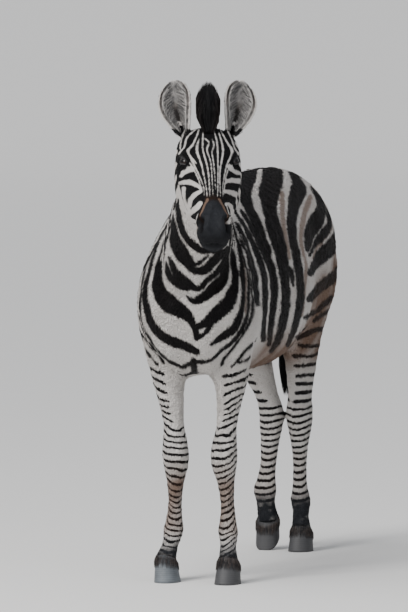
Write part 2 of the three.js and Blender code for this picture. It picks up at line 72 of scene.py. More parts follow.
NECK = [
    (-215, 1190, -400, 800, 0, 98, 0.5, 2, 2, 4),
    (-290, 1230, -490, 800, 14, 114, 0.4, 1.5, 2.1, 8),
    (-370, 1258, -556, 862, 34, 107, 0.42, 1.5, 2.1, 12),
    (-450, 1292, -598, 934, 58, 97, 0.43, 1.55, 2.1, 16),
    (-525, 1328, -630, 998, 83, 86, 0.44, 1.6, 2.1, 18),
    (-597, 1360, -658, 1054, 106, 77, 0.46, 1.65, 2.1, 20),
    (-662, 1384, -686, 1104, 127, 72, 0.48, 1.7, 2.1, 21),
    (-720, 1392, -714, 1146, 143, 66, 0.5, 1.9, 2.1, 21),
    (-756, 1370, -738, 1172, 150, 50, 0.5, 2, 2, 21),
]
# Along the face, forehead level, jaw level, widest level, half width, squareness above and below.
HEAD = [
    (-42, -48, -92, -70, 24, 2, 2),
    (-34, -18, -132, -68, 64, 2, 2),
    (-12, -2, -172, -68, 84, 2.2, 2.2),
    (28, 8, -198, -74, 93, 2.5, 2.8),
    (72, 14, -212, -82, 95, 2.7, 3.1),
    (114, 16, -217, -88, 94, 2.8, 3.3),
    (156, 12, -212, -98, 86, 2.2, 3.2),
    (200, 6, -194, -104, 75, 2, 2.9),
    (248, 0, -168, -88, 61, 2.1, 2.5),
    (296, -4, -144, -72, 51, 2.1, 2.2),
    (340, -6, -128, -60, 48, 2.2, 2.1),
    (378, -9, -123, -56, 52, 2.3, 2.2),
    (410, -20, -120, -62, 48, 2.2, 2.2),
    (428, -38, -106, -70, 35, 2.1, 2.1),
    (436, -56, -90, -73, 18, 2, 2),
]
# Middle x, y, z, half width, reach to the front and back, rise of the section to the front, squareness.
FORELEG = [
    (78, -300, 1110, 30, 40, 50, 0, 2),
    (100, -340, 1010, 46, 70, 88, 5, 2.1),
    (112, -380, 900, 60, 100, 112, 5, 2.2),
    (114, -388, 810, 66, 92, 118, 0, 2.2),
    (109, -370, 720, 62, 76, 98, 0, 2.1),
    (103, -356, 650, 55, 63, 72, 0, 2.1),
    (98, -348, 590, 47, 53, 55, 0, 2.1),
    (90, -345, 530, 38, 42, 43, 0, 2.1),
    (84, -345, 475, 32, 34, 35, 0, 2.2),
    (79, -348, 430, 37, 36, 34, 0, 2.4),
    (77, -350, 388, 41, 38, 39, 0, 2.5),
    (77, -347, 345, 37, 34, 39, 0, 2.4),
    (80, -341, 300, 27, 27, 33, 0, 2.2),
    (83, -337, 240, 21, 22, 29, 0, 2.2),
    (85, -337, 188, 25, 25, 34, 5, 2.1),
    (87, -341, 152, 31, 29, 37, 15, 2.1),
    (94, -362, 112, 25, 27, 28, 30, 2.1),
    (102, -384, 80, 29, 36, 34, 26, 2.1),
    (105, -390, 68, 32, 40, 37, 24, 2.1),
]
HINDLEG = [
    (66, 430, 1130, 52, 92, 95, 0, 2.1),
    (86, 475, 1030, 74, 150, 160, 0, 2.2),
    (94, 498, 930, 80, 172, 176, 0, 2.2),
    (90, 490, 830, 78, 160, 163, -4, 2.2),
    (80, 490, 745, 69, 132, 138, -12, 2.1),
    (64, 526, 655, 56, 92, 98, -22, 2.1),
    (46, 580, 570, 46, 62, 66, -24, 2.1),
    (26, 632, 495, 39, 45, 54, -14, 2.1),
    (15, 662, 440, 43, 41, 60, 0, 2.3),
    (14, 672, 395, 39, 42, 47, 6, 2.3),
    (15, 671, 340, 29, 33, 34, 4, 2.2),
    (16, 668, 270, 22, 25, 30, 2, 2.2),
    (17, 665, 205, 24, 25, 33, 2, 2.1),
    (20, 664, 158, 33, 31, 39, 15, 2.1),
    (27, 643, 116, 27, 28, 28, 30, 2.1),
    (36, 620, 80, 31, 37, 35, 26, 2.1),
    (39, 614, 68, 34, 41, 37, 24, 2.1),
]
RESTING_LEG = [
    (66, 425, 1130, 52, 92, 95, 0, 2.1),
    (88, 470, 1030, 74, 150, 160, 0, 2.2),
    (98, 490, 930, 80, 172, 176, 0, 2.2),
    (102, 478, 830, 80, 160, 163, -4, 2.2),
    (102, 474, 745, 71, 132, 138, -12, 2.1),
    (98, 510, 655, 56, 92, 98, -22, 2.1),
    (91, 572, 570, 45, 62, 66, -26, 2.1),
    (83, 624, 498, 36, 44, 54, -14, 2.1),
    (77, 654, 446, 39, 41, 58, 6, 2.3),
    (78, 660, 402, 38, 41, 46, 14, 2.3),
    (79, 652, 352, 32, 32, 33, 12, 2.2),
    (80, 638, 290, 27, 25, 29, 12, 2.2),
    (82, 624, 235, 29, 28, 32, 8, 2.1),
    (85, 615, 195, 38, 34, 36, -6, 2.1),
    (83, 618, 152, 31, 28, 29, -14, 2.1),
    (79, 623, 112, 33, 34, 34, -24, 2.1),
    (78, 623, 100, 36, 38, 36, -27, 2.1),
]
LEGS = {
    "front_left": (FORELEG, 1, 0),
    "front_right": (FORELEG, -1, -20),
    "hind_left": (HINDLEG, 1, 0),
    "hind_right": (RESTING_LEG, -1, 0),
}
# Middle x, y, z and half widths across and along.
DOCK = [
    (0, 652, 1150, 24, 20),
    (0, 706, 1110, 26, 20),
    (-2, 727, 1040, 25, 18),
    (-6, 731, 940, 22, 17),
    (-14, 722, 840, 20, 17),
    (-24, 716, 750, 20, 19),
    (-27, 715, 725, 10, 10),
]
COAT_DEPTH = {"trunk": 6, "neck": 6, "head": 1.5, "dock": 5, "ear": 2}


def spline(table, t):
    """A Catmull-Rom curve through the rows of a table, each row a point, read at every place in t."""
    rows = np.asarray(table, float)
    last = len(rows) - 1
    i = np.clip(np.floor(t).astype(int), 0, last - 1)
    u = (t - i)[:, None]
    a, b, c, d = (rows[np.clip(i + k, 0, last)] for k in (-1, 0, 1, 2))
    return b + 0.5 * u * (c - a + u * (2 * a - 5 * b + 4 * c - d + u * (3 * (b - c) + d - a)))


def places(table, fine):
    """Places along a table, fine steps to each of its rows."""
    return np.linspace(0, len(table) - 1, fine * (len(table) - 1) + 1)


def squarish(angle, n):
    """Unit superellipse: cosine and sine of the angle, each raised to 2/n with its sign kept."""
    c, s = np.cos(angle), np.sin(angle)
    return np.sign(c) * np.abs(c) ** (2 / n), np.sign(s) * np.abs(s) ** (2 / n)


def ring_angles(count):
    """Angles round a section, as one row."""
    return (np.arange(count) * 2 * math.pi / count)[None, :]


def head_point(h, v, l):
    """Point h down the face from the poll, v out of the forehead and l to the animal's left."""
    return POLL + np.stack(np.broadcast_arrays(h, v, l), -1) @ HEAD_AXES


def body_rings(table, depth, fine=5, around=56):
    """Superellipse sections standing on the planes of a table, drawn in by the coat's depth."""
    s = spline(table, places(table, fine))
    dy, dz, vy, vz, x, w, k, nt, nb, yaw = (column[:, None] for column in s.T)
    angle = ring_angles(around)
    above = np.sin(angle) >= 0
    c, v = squarish(angle, np.where(above, nt, nb))
    height = np.hypot(dy - vy, dz - vz)
    reach = height * np.where(above, 1 - k, k) - depth
    up = np.stack([0 * dy, (dy - vy) / height, (dz - vz) / height], -1)
    side = np.stack([np.cos(np.radians(yaw)), np.sin(np.radians(yaw)), 0 * yaw], -1)
    middle = np.stack([x, vy + (dy - vy) * k, vz + (dz - vz) * k], -1)
    return middle + side * (c * (w - depth))[..., None] + up * (v * reach)[..., None]


def head_rings(depth, fine=6, around=64):
    """Superellipse sections square to the line of the face."""
    h, top, low, mid, w, nt, nb = (column[:, None] for column in spline(HEAD, places(HEAD, fine)).T)
    angle = ring_angles(around)
    above = np.sin(angle) >= 0
    c, v = squarish(angle, np.where(above, nt, nb))
    reach = np.where(above, top - mid, mid - low) - depth
    return head_point(h, mid + v * reach, c * (w - depth))


def leg_rings(table, side, splay, fine=4, around=40, depth=None):
    """Superellipse sections down a leg. The splay moves the foot out over its lowest 150 mm."""
    x, y, z, a, f, b, tilt, n = (column[:, None] for column in spline(table, places(table, fine)).T)
    if depth is None:
        depth = np.interp(z, [100, 450, 750], [2.2, 3, 6])
    c, v = squarish(ring_angles(around), n)
    reach = v * (np.where(v > 0, f, b) - depth)
    out = x + splay * np.maximum(0, 1 - z / 150)
    tilt = np.radians(tilt)
    return np.stack([side * (out + c * (a - depth)), y - reach * np.cos(tilt), z + reach * np.sin(tilt)], -1)


def round_rings(table, depth, fine=5, around=24):
    """Level ellipses along a hanging table of middles and half widths."""
    x, y, z, a, b = (column[:, None] for column in spline(table, places(table, fine)).T)
    angle = ring_angles(around)
    return np.stack([x + (a - depth) * np.cos(angle), y + (b - depth) * np.sin(angle), z + 0 * angle], -1)


EAR_LENGTH = 166
EAR_ROOT = (-8, -26, 66)
EAR_OUTWARD = math.tan(math.radians(12))
EAR_BACKWARD = math.tan(math.radians(6))
EAR_TURNED_OUT = 0.15
EAR_HALF_WIDTH = 46
EAR_DEPTH = 44
EAR_BOW = 10
EAR_HIDE = 9
RIM_OUT, RIM_IN = -4, 8


def ear_axes(side):
    """Root, direction of growth, direction the cup faces, and the way across it."""
    root = head_point(EAR_ROOT[0], EAR_ROOT[1], side * EAR_ROOT[2])
    axis = UP + LEFT * side * EAR_OUTWARD - AHEAD * EAR_BACKWARD
    axis /= np.linalg.norm(axis)
    facing = AHEAD + LEFT * side * EAR_TURNED_OUT
    facing -= axis * (facing @ axis)
    facing /= np.linalg.norm(facing)
    return root, axis, facing, np.cross(axis, facing)


def ear_leaf(u):
    """Share of its width that an ear has at u of its height: a sine drawn down towards the base."""
    return np.sin(math.pi * (0.14 + 0.86 * u) ** 1.8) ** 0.55


def ear_bow(u, across, side):
    """How far an ear bows outwards at u of its height."""
    return np.sign(across @ LEFT * side) * EAR_BOW * np.sin(math.pi * np.minimum(1, u * 1.1))


def ear_point(side, u, turn, wide_less, deep_less):
    """Point of the cupped leaf: u up it, turn across it from -1 to 1, drawn in from its outer face."""
    root, axis, facing, across = ear_axes(side)
    wide = np.maximum(5, EAR_HALF_WIDTH * ear_leaf(u))
    deep = np.maximum(6, EAR_DEPTH * (1 - 0.7 * u * u))
    bow = ear_bow(u, across, side)
    w = np.maximum(wide - np.minimum(wide_less, wide * 0.6), 1)
    d = deep - np.minimum(deep_less, deep * 0.6)
    angle = turn * math.pi / 2
    return (root + axis * (u * EAR_LENGTH)[..., None] + across * (bow + w * np.sin(angle))[..., None]
            + facing * (deep / 2 - d * np.cos(angle))[..., None])


def ear_rings(side, depth, rings=26, arc=17):
    """Rings up an ear, each the arc of its back and then of its cup, with a rim thick enough to last."""
    u = np.linspace(0, 1, rings)[:, None]
    back = ear_point(side, u, np.linspace(-1, 1, arc)[None, :], RIM_OUT + 0 * u, depth + 0 * u)
    cup = ear_point(side, u, np.linspace(1, -1, arc)[None, 1:-1], RIM_IN + 0 * u, EAR_HIDE + 0 * u)
    return np.concatenate([back, cup], 1)


def closed_loft(rings):
    """Quads between neighbouring rings and one flat face over each end."""
    count, around = rings.shape[:2]
    k = np.arange(around)
    start = (np.arange(count - 1) * around)[:, None]
    ahead = (k + 1) % around
    quads = np.stack([start + k, start + ahead, start + around + ahead, start + around + k], -1)
    last = (count - 1) * around
    return rings.reshape(-1, 3), quads.reshape(-1, 4).tolist() + [k[::-1].tolist(), (last + k).tolist()]


HEAD_MIDDLE = head_point(165, -55, 0)
SWELL_RADIUS = 320.0
SWELL = 2.6


def swollen(points):
    """Moves points away from the middle of the head, so it is SWELL times larger while the grid is cut."""
    d = points - HEAD_MIDDLE
    r = np.linalg.norm(d, axis=1, keepdims=True)
    outside = 1 + (SWELL - 1) * SWELL_RADIUS / np.maximum(r, 1)
    return HEAD_MIDDLE + d * np.where(r < SWELL_RADIUS, SWELL, outside)


def shrunk(points):
    """Undoes swollen."""
    d = points - HEAD_MIDDLE
    r = np.linalg.norm(d, axis=1, keepdims=True)
    far = SWELL_RADIUS * (SWELL - 1)
    return HEAD_MIDDLE + d * np.where(r < SWELL_RADIUS * SWELL, 1 / SWELL, 1 - far / np.maximum(r, 1))


def placed(points):
    """From the animal's own axes in millimetres to the frame in metres."""
    return (points + OFFSET) / 1000.0


def unplaced(points):
    """From the frame in metres to the animal's own axes in millimetres."""
    return points * 1000.0 - OFFSET


def in_scene(name, data):
    """An object of the scene that holds a mesh, a light or a camera."""
    made = bpy.data.objects.new(name, data)
    bpy.context.scene.collection.objects.link(made)
    return made


def new_object(name, vertices, faces):
    """A mesh object from an array of points and lists of faces."""
    mesh = bpy.data.meshes.new(name)
    mesh.from_pydata(vertices.tolist(), [], faces)
    mesh.validate()
    return in_scene(name, mesh)


def smooth(mesh):
    """Shades every face of a mesh smoothly."""
    mesh.polygons.foreach_set("use_smooth", np.ones(len(mesh.polygons), bool))


def read(block, field, width, kind=float):
    """A mesh's vertices, edges or loops as an array."""
    flat = np.empty(len(block) * width, kind)
    block.foreach_get(field, flat)
    return flat.reshape(-1, width) if width > 1 else flat


def grown_together(lofts, voxel):
    """One watertight surface round all the lofts, cut on a grid while the head is swollen."""
    points, faces, start = [], [], 0
    for loft in lofts:
        p, f = closed_loft(loft)
        points.append(p)
        faces += [[start + i for i in face] for face in f]
        start += len(p)
    rough = new_object("rough", swollen(np.concatenate(points)) / 1000.0, faces)
    remesh = rough.modifiers.new("grid", "REMESH")
    remesh.mode = "VOXEL"
    remesh.voxel_size = voxel / 1000.0
    shape = rough.evaluated_get(bpy.context.evaluated_depsgraph_get()).to_mesh()
    grown = shrunk(read(shape.vertices, "co", 3) * 1000.0)
    edges = read(shape.edges, "vertices", 2, np.int32)
    corners = read(shape.loops, "vertex_index", 1, np.int32)
    sizes = read(shape.polygons, "loop_total", 1, np.int32)
    bpy.data.objects.remove(rough)
    return grown, edges, corners, sizes


def relaxed(points, edges, share, rounds):
    """Moves each point towards the mean of its neighbours by its share, then back by a little more."""
    n = len(points)
    degree = np.bincount(edges.ravel(), minlength=n)[:, None]
    for turn in range(rounds):
        mean = np.stack([np.bincount(edges[:, 0], points[edges[:, 1], k], n)
                         + np.bincount(edges[:, 1], points[edges[:, 0], k], n) for k in range(3)], 1) / degree
        step = share if turn % 2 == 0 else -0.9 * share
        points = points + step[:, None] * (mean - points)
    return points


def smoothstep(x, low, high):
    """0 below low, 1 above high, easing between."""
    t = np.clip((x - low) / (high - low), 0, 1)
    return t * t * (3 - 2 * t)


def head_coords(points):
    """h, v and l of points."""
    return (points - POLL) @ HEAD_AXES.T


GRID = 10.5
RELAX_ROUNDS = 26
lofts = [body_rings(TRUNK, COAT_DEPTH["trunk"]), body_rings(NECK, COAT_DEPTH["neck"])]
lofts += [head_rings(COAT_DEPTH["head"])]
lofts += [leg_rings(*leg) for leg in LEGS.values()]
lofts += [round_rings(DOCK, COAT_DEPTH["dock"])]
lofts += [ear_rings(side, COAT_DEPTH["ear"]) for side in (1, -1)]
skin_points, skin_edges, skin_corners, skin_sizes = grown_together(lofts, GRID)
hvl = head_coords(skin_points)
near_head = smoothstep(hvl[:, 0], -110, -10) * smoothstep(-hvl[:, 1], 340, 240)
low_leg = smoothstep(-skin_points[:, 2], -720, -560)
creases = 0.5 * (1 - 0.85 * near_head) * (1 - 0.8 * low_leg)
skin_points = relaxed(skin_points, skin_edges, creases, RELAX_ROUNDS)

# Forms modelled on the lofts: a line from one point to another, how far its swelling reaches and how high it
# stands. Forms of the head are in h, v and l, those of the body in x, y and z. All are made on both sides.
HEAD_FORMS = {
    "brow": ((92, -2, 80), (122, -4, 84), 13, 5.0),
    "socket front": ((138, -36, 78), (142, -44, 76), 10, -3.0),
    "socket": ((104, -32, 88), (116, -32, 88), 12, -7.0),
    "cheek ridge": ((128, -68, 84), (212, -92, 72), 11, 3.5),
    "cheek muscle": ((60, -150, 92), (110, -160, 92), 44, 4.0),
    "hollow above the eye": ((70, 4, 78), (84, 2, 80), 10, -2.5),
    "nasal bone": ((180, 8, 14), (330, -4, 10), 12, 1.5),
    "hollow of the nose": ((255, -60, 58), (325, -52, 50), 16, -3.5),
    "nostril wing": ((384, -20, 38), (410, -40, 46), 10, 6.5),
    "nostril floor": ((420, -34, 26), (424, -52, 36), 8, 4.0),
    "nostril": ((390, -27, 38), (412, -46, 38), 7.5, -22.0),
    "nostril slit": ((380, -30, 46), (392, -30, 44), 4.5, -7.0),
    "between the nostrils": ((372, -8, 6), (428, -28, 4), 12, -3.0),
    "upper lip": ((430, -58, 12), (424, -64, 32), 11, 4.0),
    "mouth": ((433, -80, 7), (418, -83, 34), 4.2, -9.0),
    "corner of the mouth": ((416, -82, 36), (352, -92, 46), 4.0, -5.0),
    "lower lip": ((424, -94, 0), (410, -96, 24), 8, 2.5),
    "chin": ((404, -122, 0), (392, -122, 12), 14, 4.0),
    "groove of the jaw": ((250, -160, 0), (120, -212, 0), 15, -5.0),
}
BODY_FORMS = {
    "shoulder blade": ((118, -262, 1150), (158, -410, 930), 26, 6.0),
    "behind the shoulder": ((160, -190, 1090), (186, -215, 800), 34, -5.0),
    "triceps": ((160, -270, 920), (150, -340, 790), 46, 7.0),
    "point of the shoulder": ((118, -480, 880), (122, -470, 850), 38, 6.0),
    "breast muscle": ((52, -540, 800), (58, -510, 700), 34, 8.0),
    "breast groove": ((10, -570, 860), (10, -510, 670), 14, -7.0),
    "between breast and arm": ((106, -500, 760), (96, -440, 680), 16, -5.0),
    "hip": ((148, 340, 1130), (152, 360, 1120), 34, 5.0),
    "flank hollow": ((172, 285, 1060), (180, 290, 930), 40, -6.0),
    "stifle": ((128, 345, 790), (118, 360, 740), 36, 7.0),
    "thigh": ((150, 470, 980), (140, 520, 860), 60, 5.0),
    "armpit": ((50, -440, 640), (56, -330, 636), 24, 15.0),
    "groin": ((44, 420, 690), (40, 500, 690), 30, 10.0),
    "between buttocks": ((0, 700, 1080), (0, 690, 860), 16, -10.0),
    "withers": ((0, -300, 1225), (0, -190, 1218), 22, 3.0),
}


def swelling(points, forms, across):
    """Sum of rises, each a bell curve of the distance to its line. Across is the axis that is mirrored."""
    rise = np.zeros(len(points))
    for a, b, reach, height in forms.values():
        for side in (1, -1):
            one = np.array(a, float)
            two = np.array(b, float)
            one[across] *= side
            two[across] *= side
            along = two - one
            t = np.clip((points - one) @ along / (along @ along), 0, 1)[:, None]
            away = ((points - one - t * along) ** 2).sum(1)
            rise += height * np.exp(-away / (2 * reach ** 2))
    return rise


skin = new_object("skin", placed(skin_points), np.split(skin_corners, np.cumsum(skin_sizes)[:-1]))
skin_normals = read(skin.data.vertex_normals, "vector", 3)
plain_points = skin_points + skin_normals * (6 - 4.5 * near_head - 3 * low_leg * (1 - near_head))[:, None]
plain_normals = skin_normals.copy()
on_head = smoothstep(hvl[:, 0], -60, -20) * smoothstep(-hvl[:, 1], 300, 240)
on_ear = np.zeros(len(skin_points))
for side in (1, -1):
    root, axis, facing, across = ear_axes(side)
    d = skin_points - root
    up_ear = d @ axis
    on_ear = np.maximum(on_ear, (up_ear > 8) & (np.abs(d @ across) < 62) & (np.abs(d @ facing) < 40)
                        & (hvl[:, 1] > -8))
BREAST_MIDDLE = (8, 0, 0)
rise = swelling(hvl, HEAD_FORMS, 2) * on_head
rise = rise + swelling(skin_points - BREAST_MIDDLE, BODY_FORMS, 0) * (1 - on_head)
skin_points = skin_points + skin_normals * (rise * (1 - on_ear))[:, None]

# The sockets: the skin opens in an almond on the ball of the eye and swells round it into the lids.
EYE_AT = (116, -29, 67)
EYE_R = 19.0
LID = (18.6, 8.6, 9.0)
LID_OVER_BALL = 2.2
LID_ENDS = 2.2


def eye_frame(side):
    """Middle of the ball, the way it looks, the way from the back corner to the front one, and the way up."""
    out = DOWN_FACE * 0.42 + OUT_FACE * 0.74 + LEFT * side * 0.88
    out /= np.linalg.norm(out)
    front = DOWN_FACE * 0.62 - LEFT * side * 0.62
    front -= out * (front @ out)
    front /= np.linalg.norm(front)
    up = np.cross(out, front)
    h, v, l = EYE_AT
    return head_point(h, v, side * l), out, front, up * np.sign(up @ UP)


for side in (1, -1):
    middle, out, front, up = eye_frame(side)
    d = skin_points - middle
    far = np.linalg.norm(d, axis=1)
    p, q = d @ front, d @ up
    opening = np.hypot(p / LID[0], q / np.where(q > 0, LID[1], LID[2]))
    near = (far < 34) & (d @ out > -4)
    inside = EYE_R - 5 + 6.5 * smoothstep(opening, 0.72, 1.0)
    lid = EYE_R + LID_OVER_BALL
    round_it = np.maximum(lid, lid + (far - EYE_R - LID_OVER_BALL) * smoothstep(opening, 1.1, LID_ENDS))
    reach = np.where(opening < 1, inside, np.where(opening > LID_ENDS, far, round_it))
    skin_points = np.where(near[:, None], middle + d * (reach / np.maximum(far, 1e-6))[:, None], skin_points)
skin.data.vertices.foreach_set("co", placed(skin_points).ravel())
skin.data.update()
smooth(skin.data)
skin_normals = read(skin.data.vertex_normals, "vector", 3)

# ---------------------------------------------------------------- the markings
# Black bands on a pale ground. Each run of bands is a phase that grows by one from a black band to the next.
# It is held at the skin's vertices and cut into crisp bands in the material.
# The side where it isn't seen from ahead: even bands down the neck and shoulder, then the broad ones of the
# flank. Each has its width low and high, then how far along the body its middle lies at the belly, the
# shoulder and the crest.
SIDE_LEVELS = (640, 960, 1240)
NECK_STEP = 45
NECK_BANDS = [(30, 30, -980 + NECK_STEP * k, -890 + NECK_STEP * k, -815 + NECK_STEP * k) for k in range(13)]
SIDE_BANDS = NECK_BANDS + [
    (34, 24, -220, -270, -215), (42, 30, -110, -210, -100), (44, 80, -60, -130, 80),
    (48, 110, -10, -110, 280), (50, 110, 60, 10, 520), (60, 110, 130, 180, 860)]
# The haunch where it isn't seen from ahead: each band's width, then its height at the flank and at the tail.
RUMP_FROM, RUMP_TO = 100, 700
RUMP_BANDS = (
    (50, 960, 1200), (10, 925, 1120), (40, 892, 1050), (32, 800, 930), (26, 745, 850),
    (18, 710, 760), (12, 682, 705), (12, 632, 640), (12, 600, 608), (12, 566, 574))

# The bands seen from ahead are laid out flat, as on a pane of glass that stands square to this line of sight,
# and are carried straight back on to the hide. The pane is 408 across and 612 down, a unit being about 3 mm
# on the animal. Each band is a row of places across and down the pane, with the band's width there.
SIGHT_FROM = (4.5085, -14.5868, 1.630)
SIGHT_TURN = 17.5
SIGHT_DROP = 3.02
SIGHT_REACH = 5000
PANE_MIDDLE = (204, 306)
PANE_UNIT = 2.93
BREAST_BANDS = {
    "throat": ((177, 200, 4), (180, 225, 6), (186, 238, 6.5), (195, 247, 7), (203, 251, 6), (224, 251, 4)),
    "jaw": ((172, 214, 2), (174, 240, 10), (180, 252, 13), (187, 261, 11), (196, 265, 4), (209, 256, 2)),
    "chin": ((186, 266, 4), (193, 271, 5), (204, 271, 7.5), (214, 262, 8.5), (224, 253, 6), (229, 248, 4)),
    "collar": ((168, 258, 3), (174, 271, 7), (184, 282, 9), (197, 289, 5.5), (208, 281, 4.5), (222, 267, 5),
               (230, 250, 4)),
    "collar lobe": ((165, 262, 1.5), (167, 273, 5), (172, 281, 7), (181, 286, 7), (187, 289, 5.5)),
    "second collar": ((186, 297, 1.5), (192, 301, 4.5), (200, 300, 7), (213, 290, 9), (219, 284, 10),
                      (225, 275, 8), (229, 255, 2)),
    "yoke, off side": ((171, 221, 1.5), (165, 238, 2.4), (160, 257, 5), (157, 281, 8.5), (160, 293, 12),
                       (167, 302, 15), (176, 309, 13), (187, 315, 10), (194, 326, 6), (197, 337, 5)),
    "yoke, near side": ((231, 230, 1.8), (234, 258, 5), (235, 281, 6.5), (228, 302, 12), (217, 313, 12),
                        (207, 322, 8), (196, 327, 4)),
    "hook": ((197, 338, 4), (206, 332, 3.5), (210, 325, 5)),
    "strap, off side": ((169, 221, 1.8), (158, 239, 2.4), (149, 270, 2.8), (145, 297, 4.2), (151, 322, 7.5),
                        (160, 333, 8), (172, 341, 8), (183, 347, 8), (196, 351, 7)),
    "strap, near side": ((232, 224, 1.5), (238, 240, 2), (242, 270, 3.8), (243, 300, 4.2), (238, 322, 6.5),
                         (232, 331, 7.5), (221, 339, 6), (211, 344, 2.5)),
    "girdle": ((232, 217, 1.2), (240, 245, 1.6), (248, 280, 2), (248, 313, 3.2), (240, 334, 3.5),
               (225, 350, 3.5), (209, 360, 3), (196, 362, 4), (182, 366, 2.4), (166, 358, 2.6),
               (150, 342, 2.2), (141, 324, 1.6), (141, 295, 1.6), (147, 256, 1.8), (157, 232, 1.8),
               (170, 215, 1.4)),
    "breastbone": ((194, 361, 5), (194, 369, 6), (195, 377, 6)),
    "outer girdle, near side": ((236, 222, 1.3), (245, 250, 1.8), (250, 275, 1.8), (253, 302, 2.2),
                                (250, 322, 2.4), (238, 343, 2.4), (219, 369, 1.4)),
    "outer girdle, off side": ((140, 334, 1.6), (150, 347, 2), (165, 367, 1.2)),
    "near arm, first": ((258, 340, 2.2), (247, 350, 2.6), (238, 361, 2.2), (226, 373, 1.2)),
    "near arm, second": ((252, 357, 2), (244, 362, 2.4), (237, 363, 1.5)),
    "near arm, third": ((249, 373, 2.4), (238, 379, 1.8), (229, 381, 1.3)),
    "off arm, first": ((143, 349, 2), (153, 361, 1.8), (163, 374, 1.1)),
    "off arm, second": ((148, 366, 1.6), (156, 377, 1.2)),
}
FLANK_BANDS = {
    "first rib": ((253, 158, 8), (249, 174, 13), (246, 190, 11), (249, 205, 8), (259, 225, 8), (269, 245, 4),
                  (272, 252, 2)),
    "second rib": ((272, 158, 14), (273, 178, 18), (270, 192, 17), (271, 210, 11), (276, 230, 11.5),
                   (282, 250, 10), (286, 278, 7), (287, 305, 7), (281, 336, 6), (272, 352, 3)),
    "third rib": ((289, 166, 2), (298, 182, 8), (299, 190, 13), (294, 210, 9), (293, 231, 7), (299, 264, 6.5),
                  (302, 295, 6), (297, 324, 5), (289, 346, 3)),
    "sliver": ((291, 267, 1.5), (293, 276, 4), (294, 285, 1.5)),
    "croup": ((314, 186, 4), (321, 200, 6), (321, 211, 9), (316, 224, 12), (311, 235, 10), (309, 250, 3)),
    "second croup": ((329, 208, 3), (330, 222, 4), (325, 233, 6), (315, 248, 3), (311, 255, 1.5)),
    "haunch": ((338, 231, 5), (334, 243, 10), (326, 253, 10), (317, 265, 8), (312, 273, 5)),
    "second haunch": ((337, 269, 4), (333, 277, 7.5), (322, 287, 7), (311, 299, 5)),
    "third haunch": ((332, 297, 3), (322, 307, 4), (306, 318, 2)),
    "fourth haunch": ((329, 311, 2.5), (320, 317, 3), (314, 321, 2.5)),
    "fifth haunch": ((327, 328, 2.5), (311, 332, 4), (298, 338, 2.5)),
    "stifle": ((299, 345, 1.8), (312, 347, 2.8), (327, 345, 2.6)),
    "second stifle": ((301, 357, 1.8), (313, 360, 2.8), (325, 357, 2.6)),
    "third stifle": ((301, 369, 1.8), (312, 371, 2.8), (324, 368, 2.4)),
    "first shoulder": ((241, 210, 2), (251, 224, 4), (264, 247, 7.5), (273, 270, 7), (276, 295, 6),
                       (273, 325, 4.5), (270, 345, 3)),
    "second shoulder": ((238, 216, 2), (247, 230, 4), (258, 253, 5), (264, 278, 5.5), (265, 300, 5),
                        (264, 340, 4)),
    "third shoulder": ((238, 224, 1.8), (248, 248, 2.6), (255, 273, 2.8), (258, 305, 1.8)),
    "fourth shoulder": ((240, 238, 1.3), (250, 264, 1.6), (257, 305, 1.6)),
}
SHADOW_BANDS = {
    "behind second rib": ((283, 192, 5), (284, 220, 4.5), (291, 258, 3)),
    "behind third rib": ((311, 196, 4), (306, 213, 5.5), (302, 238, 3.5), (307, 268, 3), (303, 316, 3)),
    "shoulder": ((244, 262, 1.6), (246, 295, 2), (246, 312, 2)),
    "haunch": ((331, 228, 3), (314, 258, 2)),
}
# Pale lines over the black face, laid out on the same pane.
FACE_LINES = {
    "off brow": ((186, 127, 1.2), (181, 140, 1.5), (180, 149, 1.3)),
    "off lid": ((196, 129, 1.2), (187, 137, 1.8), (184, 147, 2), (178, 154, 2)),
    "off forehead": ((199, 130, 1.3), (193, 144, 2.2), (188, 152, 3), (196, 163, 1)),
    "off nose, outer": ((189, 155, 2), (196, 169, 1.9), (203, 185, 1.2), (204, 195, 0.6)),
    "off nose, split": ((190, 163, 1.5), (197, 176, 1.6), (201, 187, 0.8)),
    "off nose, middle": ((199, 139, 1.2), (197, 150, 2.8), (202, 167, 2), (206, 186, 1.2), (207, 196, 0.7)),
    "off nose, inner": ((203, 133, 1.6), (203, 150, 1.8), (208, 170, 1.7), (210, 196, 0.8)),
    "kinked": ((205, 138, 1.3), (209, 143, 1.6), (207, 150, 1.6), (211, 164, 1.4), (213, 196, 0.7)),
    "middle": ((212, 139, 1), (214, 145, 1.4), (212, 152, 1.6), (214, 166, 1.3), (215.5, 190, 0.6)),
    "near nose, inner": ((214, 131, 1.2), (217, 142, 1.6), (218, 163, 1.5), (217.5, 196, 0.8)),
    "near nose, middle": ((219, 133, 1.2), (223, 150, 2.4), (220, 172, 1.6), (220.5, 196, 0.7)),
    "near forehead": ((220, 129, 1.2), (226, 140, 1.8), (232, 152, 3), (227, 165, 1.8), (223, 185, 1.1),
                      (223, 196, 0.6)),
    "near lid": ((228, 131, 1.2), (233, 142, 1.5), (236, 152, 1.8), (240, 154, 1.5)),
    "near brow": ((234, 136, 1.2), (238, 149, 1.2)),
    "near nose, outer": ((230, 164, 1.2), (226, 178, 1.2), (224, 194, 0.8)),
}
